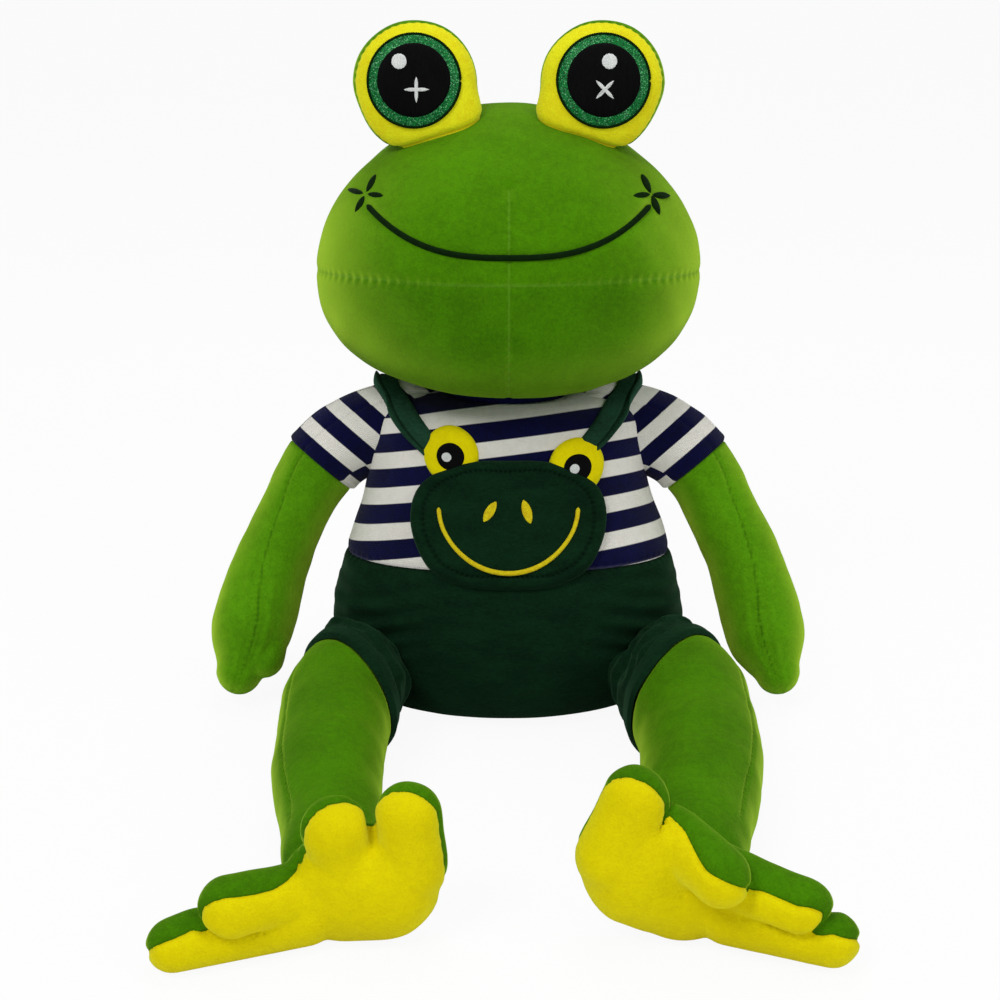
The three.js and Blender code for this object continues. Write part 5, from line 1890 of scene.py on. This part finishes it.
@dataclass
class Leg:
    """A leg in its dungaree cuff, with a foot of four toes and a yellow sole."""

    side: Side
    hip_spread: float = 78.0
    hip_forward: float = 30.0
    hip_height: float = 38.0
    length: float = 262.0
    outs: tuple[float, float] = (27.0, 20.5)
    radii: tuple[float, float] = (36.0, 33.0)
    sink: float = 8.0
    cuff_share: float = 0.315
    cuff_slant: float = 1.2
    ankle_radius: float = 24.0
    toe_reach: float = 60.0
    heel_length: float = 0.6
    heel_taper: float = 0.85
    melt: float = 4.5
    toe_notch: float = 6.5
    toe_crease: float = 2.5
    turn_up: float = 14.0
    leg_seam_turn: float = 0.95
    voxel: float = 1.7
    sole_seam: Seam = Seam(1.9, 2.2, 5.5, 0.85)
    outer_seam: Seam = Seam(1.1, 1.6, 4.2, 0.65)
    lumps: Lumps = Lumps(0.8, 60.0, 0.25, 20.0, 51)
    cuff_lumps: Lumps = Lumps(1.6, 26.0, 0.9, 13.0, 61)
    band: float = 13.5
    band_height: float = 1.3
    fold_height: float = 1.1
    fold_pitch: float = 13.0
    looseness: float = 1.6
    press: float = 7.0
    droop: float = 8.0
    bend: tuple[float, float] = (52.0, 16.0)

    def __post_init__(self) -> None:
        """Sets out the leg's line, the ankle and the foot's points."""
        way, out = self.side.way, self.side.pick(self.outs)
        hip = np.array([way * self.hip_spread, -self.hip_forward, self.hip_height])
        self.radius = self.side.pick(self.radii)
        move = LEG_ROWS[:, :3] * [way * out, -self.length, -self.sink]
        self.tube = Tube(hip + move, self.radius * LEG_ROWS[:, 3])
        self.ankle = self.tube.points[-1]
        self.forms = (*TOES[self.side], PADS[self.side])

    def ends(self, form: Toe) -> np.ndarray:
        """Returns: the two ends of a form of the foot."""
        move = np.array([form.knuckle, form.tip]) * [self.side.way, -1, 1]
        return self.ankle + move * self.toe_reach

    def foot_parts(self) -> list[Surface]:
        """Returns: the overlapping forms of the foot."""
        front = (0.0, 1.0, 0.0)
        parts = [
            Tube(self.ends(form), np.array(form.radii), form.flat, front).surface(24, 60)
            for form in self.forms
        ]
        middle = self.ends(self.forms[-1])[0]
        heel = np.array([self.ankle, self.ankle + (middle - self.ankle) * self.heel_length])
        radii = np.array([self.ankle_radius, self.ankle_radius * self.heel_taper])
        parts.append(Tube(heel, radii).surface(14, 40))
        return parts

    def sole_level(self, points: np.ndarray) -> tuple[np.ndarray, np.ndarray]:
        """Tells how far points lie on the sole's side of the seam, and how deep between toes.

        Args:
            points: the points.

        Returns:
            Millimetres in front of the seam, and a share that is 1 midway between two toes.
        """
        apart, ahead, beyond = [], [], []
        for form in self.forms:
            start, end = self.ends(form)
            run = end - start
            share = np.clip(((points - start) @ run) / (run @ run), 0, 1)
            off = points - start - share[:, None] * run
            facing = unit(np.array(form.sole) * [self.side.way, -1, -1])
            size = form.radii[0] + (form.radii[1] - form.radii[0]) * share
            apart.append(np.linalg.norm(off, axis=1) - size * (0.8 + 0.2 * form.flat))
            ahead.append(off @ facing)
            beyond.append(share)
        apart, ahead, beyond = np.array(apart), np.array(ahead), np.array(beyond)
        weight = np.exp(-(apart - apart.min(0)) / self.melt)
        level = (weight * ahead).sum(0) / weight.sum(0)
        order = np.sort(apart[:4], 0)
        out = np.take_along_axis(beyond[:4], apart[:4].argmin(0)[None], 0)[0]
        between = groove(order[1] - order[0], 3.0) * step_up(out, 0.4, 0.9)
        return level - self.toe_notch * between, between

    def build(self) -> None:
        """Makes the cuff, the leg and the two halves of the foot."""
        word = self.side.word
        forms = [self.tube.surface(90, 72), *self.foot_parts()]
        skin = sculpted(forms, self.voxel, 8).shifted_all(0.5)
        skin.points[:, 2] = np.maximum(skin.points[:, 2], 0.6)
        length, turn = self.tube.station(skin.points)
        hem = self.tube.line(self.cuff_share)
        forward = unit(np.array([self.side.way * self.cuff_slant, -1.0, 0.0]))
        level = (skin.points - hem) @ forward
        sole, between = self.sole_level(skin.points)
        ankle_level = self.ankle[1] + self.turn_up - skin.points[:, 1]
        on_foot = step_up(ankle_level, -4, 12)
        run = skin.points @ unit(np.array([1.0, 0.4, 1.3]))
        drawn = (self.sole_seam.pull(sole, run) + self.toe_crease * between) * on_foot
        off = turned_apart(turn, self.leg_seam()) * self.radius
        thread = self.outer_seam.pull(off, length) * (level > 0) * (1 - on_foot)
        # Painted shade along the sole seam and the leg's outer seam, and between the toes.
        seam = np.maximum(0.75 * groove(sole, 1.1) * on_foot, 0.6 * groove(off, 1.0) * (1 - on_foot))
        skin = skin.with_value("seam", np.maximum(seam, 0.4 * between * on_foot))
        free = step_up(skin.points[:, 2], 1.5, 9)
        skin = skin.shifted(free * (self.lumps.over(skin.points) - drawn - thread))
        skin = skin.with_value("sole", sole)
        skin = skin.with_value("level", level)
        skin = skin.with_value("reach", ankle_level)
        self.build_cuff(skin, hem, forward)
        leg, _ = skin.cut(skin.values["level"] + 8)
        foot, leg = leg.cut(leg.values["reach"])
        tucked = step_up(-leg.values["level"], -1.5, 1.5) * -1.6
        leg = leg.shifted(tucked * (leg.values["level"] < 3))
        limb = leg.piece(f"leg_pile_{word}", LEAF.material())
        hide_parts(f"leg_{word}", f"leg_stuffing_{word}")
        start, end = (tuple((self.ankle + [0, back, 0]) * METRE) for back in self.bend)
        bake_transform(limb)
        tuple(start)
        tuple(end)
        pad, top = foot.cut(foot.values["sole"])
        for part, name, fabric, nodes in (
            (top, "foot_pile", LEAF, [f"foot_top_{word}", f"foot_stuffing_{word}"]),
            (pad, "foot_pad", LEMON, [f"foot_sole_{word}"]),
        ):
            dress(part, f"{name}_{word}", fabric, f"foot_{word}", nodes)

    def leg_seam(self) -> float:
        """Returns: where the outer seam lies round the leg."""
        return math.pi / 2 + self.side.way * self.leg_seam_turn

    def build_cuff(self, skin: Surface, hem: np.ndarray, forward: np.ndarray) -> None:
        """Makes the dungaree cuff: a loose velour tube with a turned-up band.

        Args:
            skin: the leg's whole surface.
            hem: a point of the cuff's edge.
            forward: the way that the cuff's edge faces.
        """
        word = self.side.word
        _, cuff = skin.cut(skin.values["level"])
        level = (cuff.points - hem) @ forward
        band = step_up(level, -self.band, 1.5 - self.band) * self.band_height
        rolled = -2.8 * groove(level, 1.1)
        stitched = -1.0 * groove(level + self.band, 0.9)
        lumpy = self.cuff_lumps.over(cuff.points)
        sway = 1.6 * swell(cuff.points, 34, 63)
        folds = self.fold_height * np.cos(level * 2 * math.pi / self.fold_pitch + sway)
        folds = (folds + lumpy) * step_up(-level, 12, 22)
        pressed = step_up(-level, 20, 62) * step_up(cuff.points[:, 2], 30, 62)
        heights = self.looseness + band + rolled + stitched + folds - self.press * pressed
        cuff = cuff.shifted(heights)
        cuff.points[:, 2] -= self.droop * pressed
        cuff.points[:, 2] = np.maximum(cuff.points[:, 2], 0.8)
        # Painted shade along the stitched line of the cuff's band.
        cuff = cuff.with_value("seam", 0.8 * groove(level + self.band, 1.0))
        nodes = [f"shorts_leg_{word}"]
        dress(cuff, f"dungaree_cuff_{word}", VELOUR, f"leg_{word}", nodes)


# Room, light and camera


@dataclass(frozen=True)
class Lamp:
    """A soft round lamp, in metres and watts."""

    name: str
    place: tuple[float, float, float]
    size: float
    power: float


LAMPS = (
    Lamp("key_light", (-0.9, -1.5, 1.9), 0.9, 21.0),
    Lamp("fill_light", (1.4, -1.1, 1.1), 1.1, 8.0),
    Lamp("top_light", (0.1, 0.3, 2.0), 1.2, 10.0),
)


@dataclass
class Studio:
    """The pale floor, the soft light and the camera of the photograph."""

    target: tuple[float, float, float] = (-0.005, 0.0, 0.120)
    elevation: float = 18.0
    distance: float = 1.2
    lens: float = 69.66
    sensor: float = 36.0
    floor_size: float = 24.0
    floor_tone: float = 0.86
    floor_glow: float = 0.93
    room_light: float = 0.4
    lit: tuple[float, float, float] = (0.0, -0.05, 0.2)

    def build(self) -> None:
        """Sets up the whole studio."""
        self.floor()
        self.world()
        for lamp in LAMPS:
            self.hang(lamp)
        self.camera()
        bpy.context.scene.view_settings.view_transform = "Standard"

    def floor(self) -> None:
        """Makes the pale floor, white to the camera with the frog's soft shadow on it."""
        half = self.floor_size / 2
        mesh = bpy.data.meshes.new("floor")
        corners = [(-half, -half, 0), (half, -half, 0), (half, half, 0), (-half, half, 0)]
        mesh.from_pydata(corners, [], [(0, 1, 2, 3)])
        material = bpy.data.materials.new("floor_paper")
        material.use_nodes = True
        wiring = Wiring(material.node_tree)
        nodes = material.node_tree.nodes
        shader = nodes["Principled BSDF"]
        shader.inputs["Base Color"].default_value = (*[self.floor_tone] * 3, 1)
        shader.inputs["Roughness"].default_value = 0.9
        seen = wiring.add("ShaderNodeLightPath").outputs["Is Camera Ray"]
        glow = wiring.add("ShaderNodeEmission", {"Color": (1, 1, 1, 1), "Strength": 1.0})
        share = wiring.math("MULTIPLY", seen, self.floor_glow)
        shaders = {0: share, 1: shader.outputs[0], 2: glow.outputs[0]}
        mixed = wiring.add("ShaderNodeMixShader", shaders)
        material.node_tree.links.new(mixed.outputs[0], nodes["Material Output"].inputs["Surface"])
        mesh.materials.append(material)
        thing = bpy.data.objects.new("floor", mesh)
        bpy.context.scene.collection.objects.link(thing)

    def world(self) -> None:
        """Makes the room's even light, which the camera sees as white."""
        world = bpy.data.worlds.new("room")
        bpy.context.scene.world = world
        world.use_nodes = True
        wiring = Wiring(world.node_tree)
        path = wiring.add("ShaderNodeLightPath")
        shown = wiring.math("MAXIMUM", path.outputs["Is Camera Ray"], path.outputs["Is Glossy Ray"])
        shown = wiring.math("MAXIMUM", shown, path.outputs["Is Transmission Ray"])
        extra = wiring.math("MULTIPLY", shown, 1 - self.room_light)
        strength = wiring.math("ADD", extra, self.room_light)
        back = world.node_tree.nodes["Background"]
        back.inputs["Color"].default_value = (1, 1, 1, 1)
        world.node_tree.links.new(strength, back.inputs["Strength"])

    def hang(self, lamp: Lamp) -> None:
        """Hangs one soft lamp that faces the frog.

        Args:
            lamp: the lamp.
        """
        light = bpy.data.lights.new(lamp.name, "AREA")
        light.shape, light.size, light.energy = "DISK", lamp.size, lamp.power
        thing = bpy.data.objects.new(lamp.name, light)
        thing.location = lamp.place
        aim = Vector(self.lit) - Vector(lamp.place)
        thing.rotation_euler = aim.to_track_quat("-Z", "Y").to_euler()
        bpy.context.scene.collection.objects.link(thing)

    def camera(self) -> None:
        """Stands the camera where the photograph was taken from."""
        camera = bpy.data.cameras.new("camera")
        camera.lens = self.lens
        camera.sensor_width = self.sensor
        camera.clip_end = 60.0
        thing = bpy.data.objects.new("camera", camera)
        lift = math.radians(self.elevation)
        away = Vector((0, -math.cos(lift), math.sin(lift))) * self.distance
        thing.location = Vector(self.target) + away
        thing.rotation_euler = (-away).to_track_quat("-Z", "Y").to_euler()
        bpy.context.scene.collection.objects.link(thing)
        bpy.context.scene.camera = thing


def main() -> None:
    """Builds the frog in order, then the studio."""
    logging.basicConfig(level=logging.INFO, format="%(message)s")
    torso = Torso()
    head = Head()
    parts = [torso, Bib(torso), Straps(torso), head]
    for side in Side:
        parts += [Eye(head, side), Arm(side), Leg(side)]
    parts.append(Studio())
    for part in parts:
        part.build()


if __name__ == "__main__":
    main()
